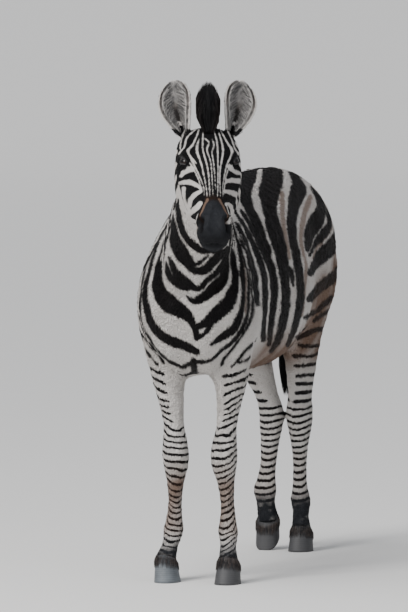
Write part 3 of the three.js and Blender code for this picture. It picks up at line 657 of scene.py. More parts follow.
CHEEK_SHAPES = {
    "off, under the eye": ((181, 176, 2), (184, 171, 5), (192, 169, 4.5)),
    "off, second": ((181, 183, 3), (189, 182, 4.5), (198, 186, 3), (201, 190, 2)),
    "off, third": ((189, 207, 2), (190, 199, 3), (195, 194, 4), (201, 191, 2.5)),
    "off, fourth": ((184, 188, 2.5), (185, 201, 2.5), (190, 213, 3)),
    "off, by the nostril": ((191, 214, 4), (196, 207, 5), (200, 203, 4)),
    "off jaw": ((179, 186, 2), (180, 200, 5), (186, 217, 7), (194, 231, 8)),
    "near, under the eye": ((229, 166, 3), (233, 169, 5.5), (239, 173, 3)),
    "near, second": ((226, 183, 1.5), (229, 180, 3.5), (239, 181, 4.5)),
    "near, third": ((224, 191, 2), (231, 192, 4), (238, 195, 4)),
    "near, by the nostril": ((227, 204, 3), (235, 206, 3.5)),
    "near jaw": ((239, 190, 2), (237, 206, 3), (232, 222, 4)),
}


def line_of_sight():
    """The ways ahead, right and up for an eye turned and dropped by SIGHT_TURN and SIGHT_DROP."""
    turn, drop = math.radians(SIGHT_TURN), math.radians(SIGHT_DROP)
    ahead = np.array((-math.sin(turn) * math.cos(drop), math.cos(turn) * math.cos(drop), -math.sin(drop)))
    right = np.array((math.cos(turn), math.sin(turn), 0.0))
    return ahead, right, np.cross(right, ahead)


SIGHT_AHEAD, SIGHT_RIGHT, SIGHT_UP = line_of_sight()
SIGHT_PLACE = unplaced(np.array((SIGHT_FROM,)))[0]


def on_pane(points):
    """Where points fall on the pane: how far right and down of the line of sight, over how far away."""
    away = points - SIGHT_PLACE
    reach = SIGHT_REACH / (away @ SIGHT_AHEAD)
    across = PANE_MIDDLE[0] + away @ SIGHT_RIGHT * reach
    return np.stack((across, PANE_MIDDLE[1] - away @ SIGHT_UP * reach), 1)


def smooth_rows(rows, more=1.0, wider=0.0, step=4.0):
    """Each row as a smooth line, a place about every step, its widths times more, plus wider."""
    paths = []
    for row in rows.values():
        table = np.array(row, float)
        length = np.linalg.norm(np.diff(table[:, :2], axis=0), axis=1).sum()
        path = spline(table.tolist(), np.linspace(0, len(row) - 1, max(4, int(length / step))))
        path[:, 2] = path[:, 2] * more + wider
        paths.append(path)
    return paths


def inside_bands(places, paths, far=14.0, run=8):
    """How deep each place of the pane is inside the nearest band, in mm, and less than 0 outside: half the
    band's width less the distance to its middle line, taken a short run of each line at a time."""
    deep = np.full(len(places), -far)
    for path in paths:
        for first in range(0, len(path) - 1, run):
            piece = path[first:first + run + 1]
            low, high = piece[:, :2].min(0) - far, piece[:, :2].max(0) + far
            near = np.nonzero(((places > low) & (places < high)).all(1))[0]
            if not len(near):
                continue
            start, way = piece[:-1, :2], np.diff(piece[:, :2], axis=0)
            away = places[near, None] - start
            t = np.clip((away * way).sum(2) / np.maximum((way ** 2).sum(1), 1e-9), 0, 1)
            away -= t[..., None] * way
            half = (piece[:-1, 2] * (1 - t) + piece[1:, 2] * t) / 2
            deep[near] = np.maximum(deep[near], (half - np.sqrt((away ** 2).sum(2))).max(1))
    return deep * PANE_UNIT


BREAST_PATHS = smooth_rows(BREAST_BANDS, 1.12, 0.7)
FLANK_PATHS = smooth_rows(FLANK_BANDS, 1.18, 1.3)
SHADOW_PATHS = smooth_rows(SHADOW_BANDS)
FACE_PATHS = smooth_rows(FACE_LINES, 0.8, 0.0, 3.0) + smooth_rows(CHEEK_SHAPES, 1.1, 0.3, 3.0)


def cut_bands(place, middles, widths):
    """Phase at each place among bands whose middles and widths are known there, edges falling on the
    quarters, and whether the place is in a gap that has closed up."""
    count = middles.shape[1]
    closed = np.zeros(len(place))
    before, after = middles[:, 0] - place, place - middles[:, -1]
    phase = np.where(before > 0, -np.clip(before / 60, 0, 0.75), count - 1.0)
    phase = np.where(after > 0, count - 1 + np.clip(after / 80, 0, 0.5), phase)
    for j in range(count - 1):
        low, high = middles[:, j], middles[:, j + 1]
        gap = np.maximum(high - low, 1e-3)
        u = (place - low) / gap
        here = (u >= 0) & (u < 1)
        first = widths[:, j] / 2 / gap
        last = 1 - widths[:, j + 1] / 2 / gap
        shut = first > last - 0.04
        first = np.clip(first, 0.05, 0.47)
        last = np.clip(last, 0.53, 0.95)
        cut = np.where(u < first, 0.25 * u / first,
                       np.where(u < last, 0.25 + 0.5 * (u - first) / (last - first),
                                0.75 + 0.25 * (u - last) / (1 - last)))
        phase = np.where(here, j + cut, phase)
        closed = np.where(here & shut, 1.0, closed)
    return phase, closed


def side_places(level):
    """Middles and widths of the side's bands at each place's level, straight between the three levels."""
    middles = np.stack([np.interp(level, SIDE_LEVELS, row[2:]) for row in SIDE_BANDS], 1)
    widths = np.stack([np.interp(level, (SIDE_LEVELS[0], SIDE_LEVELS[-1]), row[:2]) for row in SIDE_BANDS], 1)
    return middles, widths


def rump_places(along):
    """Heights and widths of every band of the haunch at each distance along the body."""
    heights = np.stack([np.interp(along, (RUMP_FROM, RUMP_TO), row[1:]) for row in RUMP_BANDS], 1)
    return heights, np.broadcast_to([float(row[0]) for row in RUMP_BANDS], heights.shape)


def wobble(points, size, seed):
    """Smooth random waves: a sum of sines in several directions."""
    rng = np.random.default_rng(seed)
    total = np.zeros(len(points))
    for turn in range(7):
        way = rng.normal(size=3)
        way /= np.linalg.norm(way)
        total += np.sin(points @ way * 2 * math.pi / (size * rng.uniform(0.7, 1.6)) + rng.uniform(0, 6.3))
    return total / 2.6


def blob(points, a, b, reach):
    """1 on the line from a to b, falling to 0 at twice the reach."""
    a, b = np.array(a, float), np.array(b, float)
    along = b - a
    t = np.clip((points - a) @ along / max(along @ along, 1e-9), 0, 1)[:, None]
    away = np.sqrt(((points - a - t * along) ** 2).sum(1))
    return 1 - smoothstep(away, 0.7 * reach, 1.6 * reach)


# How far the neck's sections lie ahead, how far to the left their middles are, and their turns in degrees.
NECK_AHEAD = (300, 390, 463, 524, 577, 627, 674, 717)
NECK_LEFT = (0, 14, 34, 58, 83, 106, 127, 143)
NECK_TURN = (2, 8, 12, 16, 18, 21)
# Bars counted down the legs: the depth below the haunch's last band, or the height, and the count there.
HIND_DOWN = (0, 104, 174, 274, 394, 474, 534)
HIND_COUNT = (0, 3.6, 7, 12, 17.5, 21, 23)
FORE_DOWN = (-860, -640, -560, -500, -330, -190, -100, -40)
FORE_COUNT = (0, 6, 9, 12, 20, 27.5, 33, 36)
# How far apart the stripes of the face are where they aren't seen from ahead, down the face.
FACE_DOWN = (-40, 0, 50, 85, 110, 209, 277, 330)
FACE_PERIOD = (8, 9, 13.5, 18, 17.5, 12, 9.5, 8.5)
CHEEK_PERIOD = (50, 43)
HEAD_H, HEAD_LOW, HEAD_MID = (tuple(row[k] for row in HEAD) for k in (0, 2, 3))


def markings(points, normals):
    """All that the coat's colours are made from, at points of the skin in the animal's own axes."""
    x, y, z = points.T
    h, v, l = head_coords(points).T
    side = np.sign(x)
    # neck, shoulder and flank
    neck_mix = smoothstep(z, 830, 1040) * smoothstep(-y, 180, 330)
    middle_x = np.interp(-y, NECK_AHEAD, NECK_LEFT) * neck_mix
    turn = np.interp(-y, NECK_AHEAD[:5] + NECK_AHEAD[6:7], NECK_TURN) * neck_mix
    turn = turn + 4 * (y < -300) * (1 - neck_mix)
    straight = y - (x - middle_x) * np.tan(np.radians(turn))
    drift = wobble(points * [0.6, 1, 1] + 400 * (x < middle_x)[:, None], 150, 3) * 5
    drift = drift + wobble(points, 48, 5) * 1.6
    level = z + wobble(points, 300, 9) * 12 * (x < 0)
    middles, widths = side_places(level)
    widths = widths * (1 - 0.25 * np.clip(-normals[:, 1], 0, 1) * (z < 900))[:, None]
    # the last band of the side ends in a point
    widths[:, -1] *= smoothstep(z, 965, 1040)
    bands, closed = cut_bands(straight + drift, middles, widths)
    fold = np.interp(level, (640, 860, 1000, 1240), (120, 210, 160, 780))
    # haunch
    middles, widths = rump_places(y)
    rump_drift = wobble(points + 900 * (x < 0)[:, None], 120, 11) * 5 + wobble(points, 45, 13) * 1.8
    height = z + rump_drift * np.interp(z, (600, 760), (0.4, 1))
    rump, rump_closed = cut_bands(-height, -middles, widths)
    # legs, below the lowest band of the haunch and for the forelegs from the elbow down
    low = np.interp(y, (RUMP_FROM, RUMP_TO), RUMP_BANDS[-1][1:])
    front_of_leg = np.clip(-normals[:, 1], 0, 1)
    down = low - height
    down = down - 10 * front_of_leg * smoothstep(down, 0, 70)
    hind_count = np.interp(down, HIND_DOWN, HIND_COUNT)
    rump = np.where(height < low, len(RUMP_BANDS) - 1 + hind_count, rump)
    fore_height = z + wobble(points + 500 * (x < 0)[:, None], 90, 17) * 4 + wobble(points, 30, 19) * 1.5
    fore_height = fore_height + 13 * front_of_leg - 10 * np.clip(side * normals[:, 0], -1, 1)
    fore_count = np.interp(-fore_height, FORE_DOWN, FORE_COUNT)
    foreleg = y < -150
    onto_leg = smoothstep(-z, -690, -650)
    rump = np.where(foreleg, fore_count, rump)
    pick = np.where(foreleg, onto_leg, smoothstep(y + drift * 0.5 - fold, -4, 4))
    # a thin bar is narrower than the space to the next, most of all on the forelegs
    narrow = np.where(foreleg, 0.055, 0.035 * smoothstep(-z, -640, -560)) * (z < 700)
    inner = smoothstep(-side * normals[:, 0], 0.0, 0.6) * smoothstep(z, 455, 520) * smoothstep(-z, -720, -640)
    # bands laid out on the pane, over the breast, flank and haunch; the far side's mirror the near one's
    fuzz = 0.9 * wobble(points, 34, 51) + 0.5 * wobble(points, 13, 53)
    far_side = (x < 0) & (y > -330)
    pane = on_pane(np.stack((np.where(far_side, np.abs(x), x), y, z), 1))
    deep_breast = np.where(y < -300, inside_bands(pane, BREAST_PATHS), -40)
    deep_flank = np.where((y > -400) & (far_side | (x > 0)), inside_bands(pane, FLANK_PATHS), -40)
    by_hand = (np.maximum(deep_breast * ~far_side - 40 * far_side, deep_flank) + fuzz) / 22
    facing = normals * np.where(far_side[:, None], (-1, 1, 1), (1, 1, 1))
    seen = -(facing @ SIGHT_AHEAD)
    top = np.interp(x, [0, 60, 120, 160], [1185, 1130, 1040, 1080]) + 70 * smoothstep(y, -440, -380)
    least = np.where(y < -300, 0.1, 0.0)
    traced = smoothstep(seen, least, least + 0.14)
    traced *= np.maximum(smoothstep(top - z, -25, 25), smoothstep(y, -320, -265))
    traced *= np.where(y > -330, smoothstep(pane[:, 0], 233, 241), 1.0)
    breast_low = smoothstep(z + 70 * (np.abs(x - 12) < 60), 628, 662)
    thigh_low = np.where(y > 150, smoothstep(z, 650, 664), 1.0)
    traced *= np.where(foreleg, breast_low, thigh_low)
    hand_shadow = smoothstep(inside_bands(pane, SHADOW_PATHS) + fuzz, -3, 2)
    fill = (closed * (1 - pick) + rump_closed * pick * (z > 574) * ~foreleg) * (1 - traced)
    # a black patch inside the right hind thigh: partly its black marks, partly painted shade where it lies in
    # shadow
    fill = np.maximum(fill, blob(points, (-40, 470, 660), (-46, 520, 600), 26) * (x < 0))
    # the stripe along the back
    back_stripe = (1 - smoothstep(np.abs(x), 7, 13)) * smoothstep(z, 1150, 1180) * smoothstep(y, -240, -180)
    fill = np.maximum(fill, back_stripe)
    # face
    period = np.interp(h, FACE_DOWN, FACE_PERIOD)
    shake = wobble(points, 36, 23) * 1.3 + wobble(points, 14, 29) * 0.5
    face = (l + shake) / period
    slant = h - 0.6 * v + wobble(points, 60, 31) * 5 + 0.05 * np.abs(v + 60)
    cheek = (slant + 60) / np.where(l < 0, *CHEEK_PERIOD)
    level_mid = np.interp(h, HEAD_H, HEAD_MID)
    round_face = np.degrees(np.arctan2(np.abs(l), v - level_mid))
    head_pick = smoothstep(round_face + shake, 41, 45)
    jaw_line = np.interp(h, HEAD_H, HEAD_LOW)
    head = (h > -40) & (v > jaw_line - 14) & (h + 0.32 * (v + 100) > -8) & (np.abs(l) < 120) & (h < 460)
    bands = np.where(head, face, bands)
    rump = np.where(head, cheek, rump)
    pick = np.where(head, head_pick, pick)
    fill = np.where(head, 0.0, fill)
    narrow = np.where(head, -0.045 * (1 - head_pick), narrow)
    jaw_pale = smoothstep(-(v - jaw_line), -46, -22) * smoothstep(-h, -330, -290) * head
    fill = fill - 0.75 * jaw_pale
    # pale lines laid out on the pane, over the black face, and the black rim of the eye
    lines = -(inside_bands(on_pane(points), FACE_PATHS, 9.0) + 0.5 * wobble(points, 16, 57)) / 12
    eye_rim = np.hypot((h - 121) / 24, np.hypot((v + 20) / 18, (np.abs(l) - 78) / 24))
    lines = np.maximum(lines, 1.3 - eye_rim)
    face_seen = smoothstep(seen, 0.06, 0.28) * smoothstep(v - jaw_line, 0, 20)
    by_hand = np.where(head, lines, by_hand)
    traced = np.where(head, face_seen, traced)
    # muzzle
    muzzle_from = np.interp(np.abs(l), (0, 20, 45, 60), (324, 330, 392, 404))
    muzzle_from = np.maximum(muzzle_from, np.interp(-v, [30, 60, 80, 110], [300, 388, 404, 398]))
    muzzle_from = muzzle_from + wobble(points, 24, 37) * 2.0
    muzzle = smoothstep(h, muzzle_from - 7, muzzle_from + 8) * head
    rust = np.exp(-((h - muzzle_from + 8) / 16) ** 2) * head * smoothstep(v, -36, -18)
    rust = rust * (0.45 + 0.55 * smoothstep(np.abs(l), 8, 22))
    # stain of earth and rufous hair
    stain = 0.06 + 0.06 * smoothstep(y, -300, 100) * smoothstep(z, 700, 900)
    belly = smoothstep(-z, -800, -665) * smoothstep(y, -330, -160) * smoothstep(-y, -480, -280) * 0.95
    thigh = smoothstep(y, 190, 330) * smoothstep(-z, -960, -820) * smoothstep(z, 560, 660)
    buttock = smoothstep(y, 400, 540) * smoothstep(-z, -1060, -900) * smoothstep(z, 560, 680)
    shins = smoothstep(-z, -350, -290) * smoothstep(z, 110, 180) * np.where(foreleg, 0.75, 0.25)
    knees = np.exp(-((z - 330) / 40) ** 2) * front_of_leg * foreleg * 0.45
    stain = np.maximum.reduce([stain, belly, thigh, buttock, shins, knees])
    stain = np.clip(stain * (1 + 0.3 * wobble(points, 110, 41)) * (1 - head) + 2.2 * rust, 0, 1)
    # shadow: brown stripes inside the broad pale bands; on the head, painted shade in nostrils and mouth
    # painted shade in the hollows of the nostrils
    nostril_painted_shade = np.maximum.reduce([
        blob(points, head_point(388, -28, 37 * one), head_point(414, -48, 40 * one), 9.0) for one in (1, -1)])
    # painted shade along the crease of the mouth
    mouth_painted_shade = np.maximum.reduce([
        blob(points, head_point(434, -79, 0), head_point(417, -83, 36 * one), 3.2) for one in (1, -1)])
    under_lip = smoothstep(-v, 84, 104) * 0.62
    rear_shadow = smoothstep(y, 480, 560) * smoothstep(z, 700, 860) * 0.3
    shadow = np.maximum(hand_shadow * (traced > 0), rear_shadow) * (1 - head)
    # painted shade on the lower front of the muzzle, so its top stays blue-grey as a painted sheen; less on
    # the chin
    low_muzzle_painted_shade = 0.62 * smoothstep(h, 350, 400) * smoothstep(-v, 20, 60)
    shadow_of_nose = np.maximum.reduce([nostril_painted_shade, mouth_painted_shade, low_muzzle_painted_shade - under_lip])
    shadow = np.where(head, np.clip(shadow_of_nose, 0, 1), shadow)
    # dark fetlocks and muzzle
    dark = np.where(foreleg, smoothstep(-z, -150, -80), smoothstep(-z, -205, -140)) * ~head
    dark = np.maximum(dark * (1 + 0.15 * wobble(points, 30, 43)), muzzle)
    fill = fill - 1.3 * inner * (1 - head) - smoothstep(rust, 0.55, 0.8)
    return {"by_hand": by_hand, "traced": traced, "bands": bands, "bands_across": rump, "pick": pick,
            "fill": np.clip(fill, -1, 1), "narrow": narrow, "stain": stain, "dark": np.clip(dark, 0, 1),
            "shadow": shadow}


marks = markings(plain_points, plain_normals)


def ear_marks(points, normals, marks):
    """White rims, a dark line inside them, a dark slit in the cup, both deepened by painted shade, and black
    and white backs.
    """
    for side in (1, -1):
        root, axis, facing, across = ear_axes(side)
        d = points - root
        up_ear = d @ axis / EAR_LENGTH
        ear = (d @ axis > 14) & (np.abs(d @ across) < 62) & (np.abs(d @ facing) < 42)
        ear &= head_coords(points)[:, 1] > -4
        wide = np.maximum(6, EAR_HALF_WIDTH * ear_leaf(np.clip(up_ear, 0, 1)))
        out = np.abs(d @ across - ear_bow(up_ear, across, side)) / wide
        cup = normals @ facing > 0.02
        rim = np.maximum(smoothstep(out, 0.95, 1.0), smoothstep(up_ear, 0.965, 0.99) * cup)
        line = smoothstep(out, 0.78, 0.88) * (1 - rim) * (0.55 + 0.45 * smoothstep(up_ear, 0.4, 0.8))
        slit = (1 - smoothstep(out, 0.16, 0.42)) * smoothstep(-up_ear, -0.75, -0.45)
        inside = 0.74 + 0.16 * wobble(points + facing * 40, 14, 61)
        inside = np.clip(np.maximum.reduce([line * 1.02, slit, inside]), 0, 1) * (1 - rim)
        back = smoothstep(up_ear, 0.5, 0.6) * (1 - smoothstep(up_ear, 0.86, 0.93))
        back = back + 1 - smoothstep(up_ear, 0.16, 0.24)
        # the line and the slit are darkened further, as painted shade in the hollow of the cup
        cup_shadow = np.clip(np.maximum(line, slit) * 1.1 - 0.2, 0, 1)
        on_the_ear = {"fill": np.where(cup, -1, np.where(back > 0.5, 1.0, -1)), "stain": 0.0, "traced": 0.0,
                      "dark": np.where(cup, inside * 0.93, 0), "shadow": np.where(cup, cup_shadow, 0),
                      "narrow": 0.0}
        for name, value in on_the_ear.items():
            marks[name] = np.where(ear, value, marks[name])


ear_marks(skin_points, skin_normals, marks)


def write_marks(mesh, values):
    """Keeps each marking as an attribute of the mesh's vertices."""
    for name, value in values.items():
        kept = mesh.attributes.new(name, "FLOAT", "POINT")
        kept.data.foreach_set("value", np.asarray(value, np.float32))


write_marks(skin.data, marks)


def value_node(tree, operation, a, b=None, clamp=False):
    """A Math node; a and b are sockets or numbers."""
    node = tree.nodes.new("ShaderNodeMath")
    node.operation = operation
    node.use_clamp = clamp
    for socket, value in zip(node.inputs, (a, b)):
        if isinstance(value, bpy.types.NodeSocket):
            tree.links.new(value, socket)
        elif value is not None:
            socket.default_value = value
    return node.outputs[0]


def mixed(tree, share, a, b):
    """A colour between a and b."""
    node = tree.nodes.new("ShaderNodeMix")
    node.data_type = "RGBA"
    for socket, value in ((node.inputs[0], share), (node.inputs[6], a), (node.inputs[7], b)):
        if isinstance(value, bpy.types.NodeSocket):
            tree.links.new(value, socket)
        elif isinstance(value, tuple):
            socket.default_value = (*value, 1)
        else:
            socket.default_value = value
    return node.outputs[2]


def product(tree, a, b):
    """Two sockets or numbers multiplied."""
    return value_node(tree, "MULTIPLY", a, b)


def blended(tree, share, a, b):
    """A value between a and b."""
    return value_node(tree, "ADD", product(tree, a, value_node(tree, "SUBTRACT", 1.0, share)),
                      product(tree, b, share))


def attribute(tree, name):
    """A float kept at the vertices."""
    node = tree.nodes.new("ShaderNodeAttribute")
    node.attribute_name = name
    return node.outputs["Fac"]


def noise(tree, scale, detail=3.0, rough=0.5):
    """Noise in the object's own coordinates, 0 to 1."""
    where = tree.nodes.new("ShaderNodeTexCoord")
    node = tree.nodes.new("ShaderNodeTexNoise")
    node.inputs["Scale"].default_value = scale
    node.inputs["Detail"].default_value = detail
    node.inputs["Roughness"].default_value = rough
    tree.links.new(where.outputs["Object"], node.inputs["Vector"])
    return node.outputs["Fac"]


# Colours of the coat, linear red, green and blue.
PALE, PALE_CLEAN = (0.55, 0.515, 0.485), (0.75, 0.73, 0.71)
SHADOW_BROWN = (0.17, 0.10, 0.065)
EARTH = (0.140, 0.066, 0.030)
BLACK, BLACK_FADED = (0.0016, 0.0016, 0.0024), (0.0046, 0.0040, 0.0046)
BLACK_STAINED = (0.036, 0.016, 0.008)
MUZZLE, MUZZLE_GREY = (0.0085, 0.0092, 0.0115), (0.032, 0.034, 0.040)
# the deepest black: painted shade in the nostrils, mouth, lower muzzle and ear cups, and the dark hair over
# the hooves
DEEP_BLACK_AND_PAINTED_SHADE = (0.0035, 0.0035, 0.0045)
MARKS = ("By Hand", "Traced", "Bands", "Bands Across", "Pick", "Fill", "Narrow", "Stain", "Dark", "Shadow")


def markings_group():
    """Turns the kept phases into the coat's colour and says how black it is."""
    group = bpy.data.node_groups.new("zebra markings", "ShaderNodeTree")
    face = group.interface
    for name in MARKS + ("Crispness",):
        face.new_socket(name, in_out="INPUT", socket_type="NodeSocketFloat")
    face.new_socket("Color", in_out="OUTPUT", socket_type="NodeSocketColor")
    face.new_socket("Black", in_out="OUTPUT", socket_type="NodeSocketFloat")
    get = group.nodes.new("NodeGroupInput").outputs
    end = group.nodes.new("NodeGroupOutput")

    def ink(phase):
        """A triangle wave, 1 in the middle of each black band and -1 in the middle of each pale one."""
        moved = value_node(group, "FRACT", value_node(group, "ADD", phase, 0.5))
        away = value_node(group, "ABSOLUTE", value_node(group, "SUBTRACT", moved, 0.5))
        return value_node(group, "SUBTRACT", 1.0, product(group, away, 4.0))

    both = blended(group, get["Pick"], ink(get["Bands"]), ink(get["Bands Across"]))
    thin = value_node(group, "SUBTRACT", both, product(group, get["Narrow"], 4.0))
    laid = blended(group, get["Traced"], thin, get["By Hand"])
    forced = value_node(group, "ADD", laid, product(group, get["Fill"], 2.2))
    black = value_node(group, "ADD", product(group, forced, get["Crispness"]), 0.5, clamp=True)
    ground = mixed(group, noise(group, 9.0, 4.0), PALE, PALE_CLEAN)
    ground = mixed(group, product(group, get["Shadow"], 0.72), ground, SHADOW_BROWN)
    ground = mixed(group, product(group, get["Stain"], 0.9), ground, EARTH)
    ink_colour = mixed(group, noise(group, 14.0, 3.0), BLACK, BLACK_FADED)
    ink_colour = mixed(group, product(group, get["Stain"], 0.5), ink_colour, BLACK_STAINED)
    coat = mixed(group, black, ground, ink_colour)
    muzzle = mixed(group, noise(group, 60.0, 4.0), MUZZLE, MUZZLE_GREY)
    # darker still where the shadow mark is given: painted shade of nostrils, mouth, lower muzzle and ear
    # cups, and dark hoof hair
    muzzle = mixed(group, product(group, get["Shadow"], get["Dark"]), muzzle, DEEP_BLACK_AND_PAINTED_SHADE)
    group.links.new(mixed(group, get["Dark"], coat, muzzle), end.inputs["Color"])
    group.links.new(black, end.inputs["Black"])
    return group


MARKINGS = markings_group()


def new_material(name):
    """An empty material with its Principled shader."""
    made = bpy.data.materials.new(name)
    made.use_nodes = True
    return made, made.node_tree, made.node_tree.nodes["Principled BSDF"]


def bumped(tree, shader, height, distance):
    """Gives a shader a bump of half strength from a height."""
    bump = tree.nodes.new("ShaderNodeBump")
    bump.inputs["Strength"].default_value = 0.5
    bump.inputs["Distance"].default_value = distance
    tree.links.new(height, bump.inputs["Height"])
    tree.links.new(bump.outputs["Normal"], shader.inputs["Normal"])


def coat_material(name, crispness, unshaded_share=1.0, bumpy=True):
    """Hair in the markings' colours, dull with a weak sheen, and a grain where it is bumpy; a share below 1
    darkens it towards black as painted shade.
    """
    made, tree, shader = new_material(name)
    marks_node = tree.nodes.new("ShaderNodeGroup")
    marks_node.node_tree = MARKINGS
    for socket in MARKS:
        kept = attribute(tree, socket.lower().replace(" ", "_"))
        tree.links.new(kept, marks_node.inputs[socket])
    marks_node.inputs["Crispness"].default_value = crispness
    colour = marks_node.outputs["Color"]
    # painted shade: the colour darkened towards black, only the unshaded share of it kept
    if unshaded_share != 1.0:
        colour = mixed(tree, 1 - unshaded_share, colour, (0.0, 0.0, 0.0))
    tree.links.new(colour, shader.inputs["Base Color"])
    shader.inputs["Roughness"].default_value = 0.62
    shader.inputs["Specular IOR Level"].default_value = 0.16
    if bumpy:
        bumped(tree, shader, noise(tree, 420.0, 3.0, 0.6), 0.002)
    return made


def hair_material(name, crispness=6.0):
    """The coat's material as solid hairs and tufts wear it, without a grain of its own."""
    return coat_material(name, crispness, 1.0, False)


# the hide between the tufts is a tenth darker, as painted shade under the coat
skin.data.materials.append(coat_material("hide", 9.0, 0.9))
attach(skin, "root")
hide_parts("trunk", "neck", "head", "ear_left", "ear_right", "tail",
            *("leg_" + name for name in LEGS))


# ---------------------------------------------------------------- the coat
# Short hair over the whole skin, laid in overlapping tufts that follow the lie of the coat, a piece for each
# part of the body. It is longest on the body, most of all on the belly, and shortest on the muzzle.
def lie_of_hair(points, normals):
    """The way the hair points: back and down the body, down the legs, out from a whorl on the forehead and up
    the ears."""
    y, z = points.T[1:]
    h, v, l = head_coords(points).T
    way = np.tile([0.0, 1.0, -0.35], (len(points), 1))

    def towards(share, aim):
        way[:] = way * (1 - share[:, None]) + np.asarray(aim, float) * share[:, None]

    towards(smoothstep(y, 300, 560), (0, 0.5, -0.9))
    towards(smoothstep(-y, 330, 470) * smoothstep(-z, -1150, -900), (0, 0.2, -1))
    towards(smoothstep(-y, 330, 480) * smoothstep(z, 900, 1080), (-0.2, 0.62, -0.75))
    towards(smoothstep(-z, -740, -640), (0, 0.12, -1))
    head = smoothstep(h + 0.32 * (v + 100), -30, 10) * smoothstep(v, -260, -215)
    cheek = smoothstep(-v, 20, 80)
    down = np.clip((h - 92) / 36, -1, 1)
    spread = (1 - np.abs(down)) * np.clip(l / 20, -1, 1)
    face = down[:, None] * DOWN_FACE + spread[:, None] * LEFT
    side_face = 0.35 * DOWN_FACE - 0.8 * OUT_FACE - 0.35 * AHEAD
    towards(head, face * (1 - cheek[:, None]) + side_face * cheek[:, None])
    for side in (1, -1):
        towards(on_ear * (l * side > 0), ear_axes(side)[1])
    way -= normals * (way * normals).sum(1)[:, None]
    return way / np.maximum(np.linalg.norm(way, axis=1, keepdims=True), 1e-6)


skin_way = lie_of_hair(skin_points, skin_normals)
h, v, l = head_coords(skin_points).T
is_head = (h > -46) & (v > -225) & (h + 0.32 * (v + 100) > -14) & (np.abs(l) < 130)
z = skin_points[:, 2]
coat_length = np.interp(z, [60, 200, 400, 650, 800], [7, 7.5, 8.5, 10, 11.5])
coat_length = np.where(is_head, np.interp(h, [-40, 60, 140, 300, 430], [8, 6, 5.5, 4.5, 3.2]), coat_length)
coat_length = np.where(on_ear > 0, 5.5, coat_length)
belly_hair = smoothstep(-z, -700, -640) * (skin_normals[:, 2] < -0.5) * (z > 560)
coat_length = coat_length * (1 + 0.4 * belly_hair)

mesh = skin.data
mesh.calc_loop_triangles()
triangles = read(mesh.loop_triangles, "vertices", 3, np.int32)
corner = skin_points[triangles]
triangle_area = np.linalg.norm(np.cross(corner[:, 1] - corner[:, 0], corner[:, 2] - corner[:, 0]), axis=1) / 2


def solid_mesh(name, points, faces, uv, material):
    """An object from whole arrays of points and triangles, smooth, with the bake's map where it is given."""
    made = bpy.data.meshes.new(name)
    made.vertices.add(len(points))
    made.vertices.foreach_set("co", placed(points).astype(np.float32).ravel())
    made.loops.add(faces.size)
    made.loops.foreach_set("vertex_index", faces.astype(np.int32).ravel())
    made.polygons.add(len(faces))
    made.polygons.foreach_set("loop_start", np.arange(0, faces.size, 3, dtype=np.int32))
    smooth(made)
    made.update(calc_edges=True)
    if uv is not None:
        layer = made.uv_layers.new(name="OFBake")
        layer.data.foreach_set("uv", uv[faces.ravel()].astype(np.float32).ravel())
    made.materials.append(material)
    thing = in_scene(name, made)
    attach(thing, "root")
    return thing


PATCH = 0.003
TUFT_FACES = np.array([(0, 2, 1), (3, 1, 2), (0, 1, 3), (0, 3, 2)])
TUFT_UV = np.array([(-0.5, 0), (0, 0.5), (0, -0.5), (0.5, 0)]) * PATCH


def unwrapped(points, kind):
    """A place on a map of the skin's own shape: round it and along it, two limbs or ears side by side."""
    x, y, z = points.T
    if kind == "head":
        h, v, l = head_coords(points).T
        round_it = np.arctan2(l, v + 90) / (2 * math.pi) + 0.5
        along = (h + 60) / 520
    elif kind == "ear":
        h, v, l = head_coords(points).T
        left = l > 0
        first, second = (np.stack([(points - root) @ way for way in ways], 1)
                         for root, *ways in (ear_axes(1), ear_axes(-1)))
        d = np.where(left[:, None], first, second)
        round_it = (np.arctan2(d[:, 2], d[:, 1] - 16) / (2 * math.pi) + 0.5 + left) / 2
        along = d[:, 0] / 180
    elif kind == "leg":
        left = x > 0
        middle = np.where(left, 88.0, -88.0)
        centre = np.where(y < 150, -346.0, np.interp(z, [150, 440, 640], [660, 660, 530]))
        round_it = (np.arctan2(x - middle, y - centre) / (2 * math.pi) + 0.5 + left) / 2
        along = z / 720
    else:
        low, high = kind
        middle_x, middle_z = np.interp(-y, [300, 720], [0, 143]), np.interp(-y, [250, 700], [930, 1250])
        round_it = np.arctan2(x - middle_x, z - middle_z) / (2 * math.pi) + 0.5
        along = (y - low) / (high - low)
    return np.stack([0.01 + 0.98 * round_it, 0.01 + 0.98 * np.clip(along, 0, 1)], 1)


TUFT_CRISPNESS = 5.0


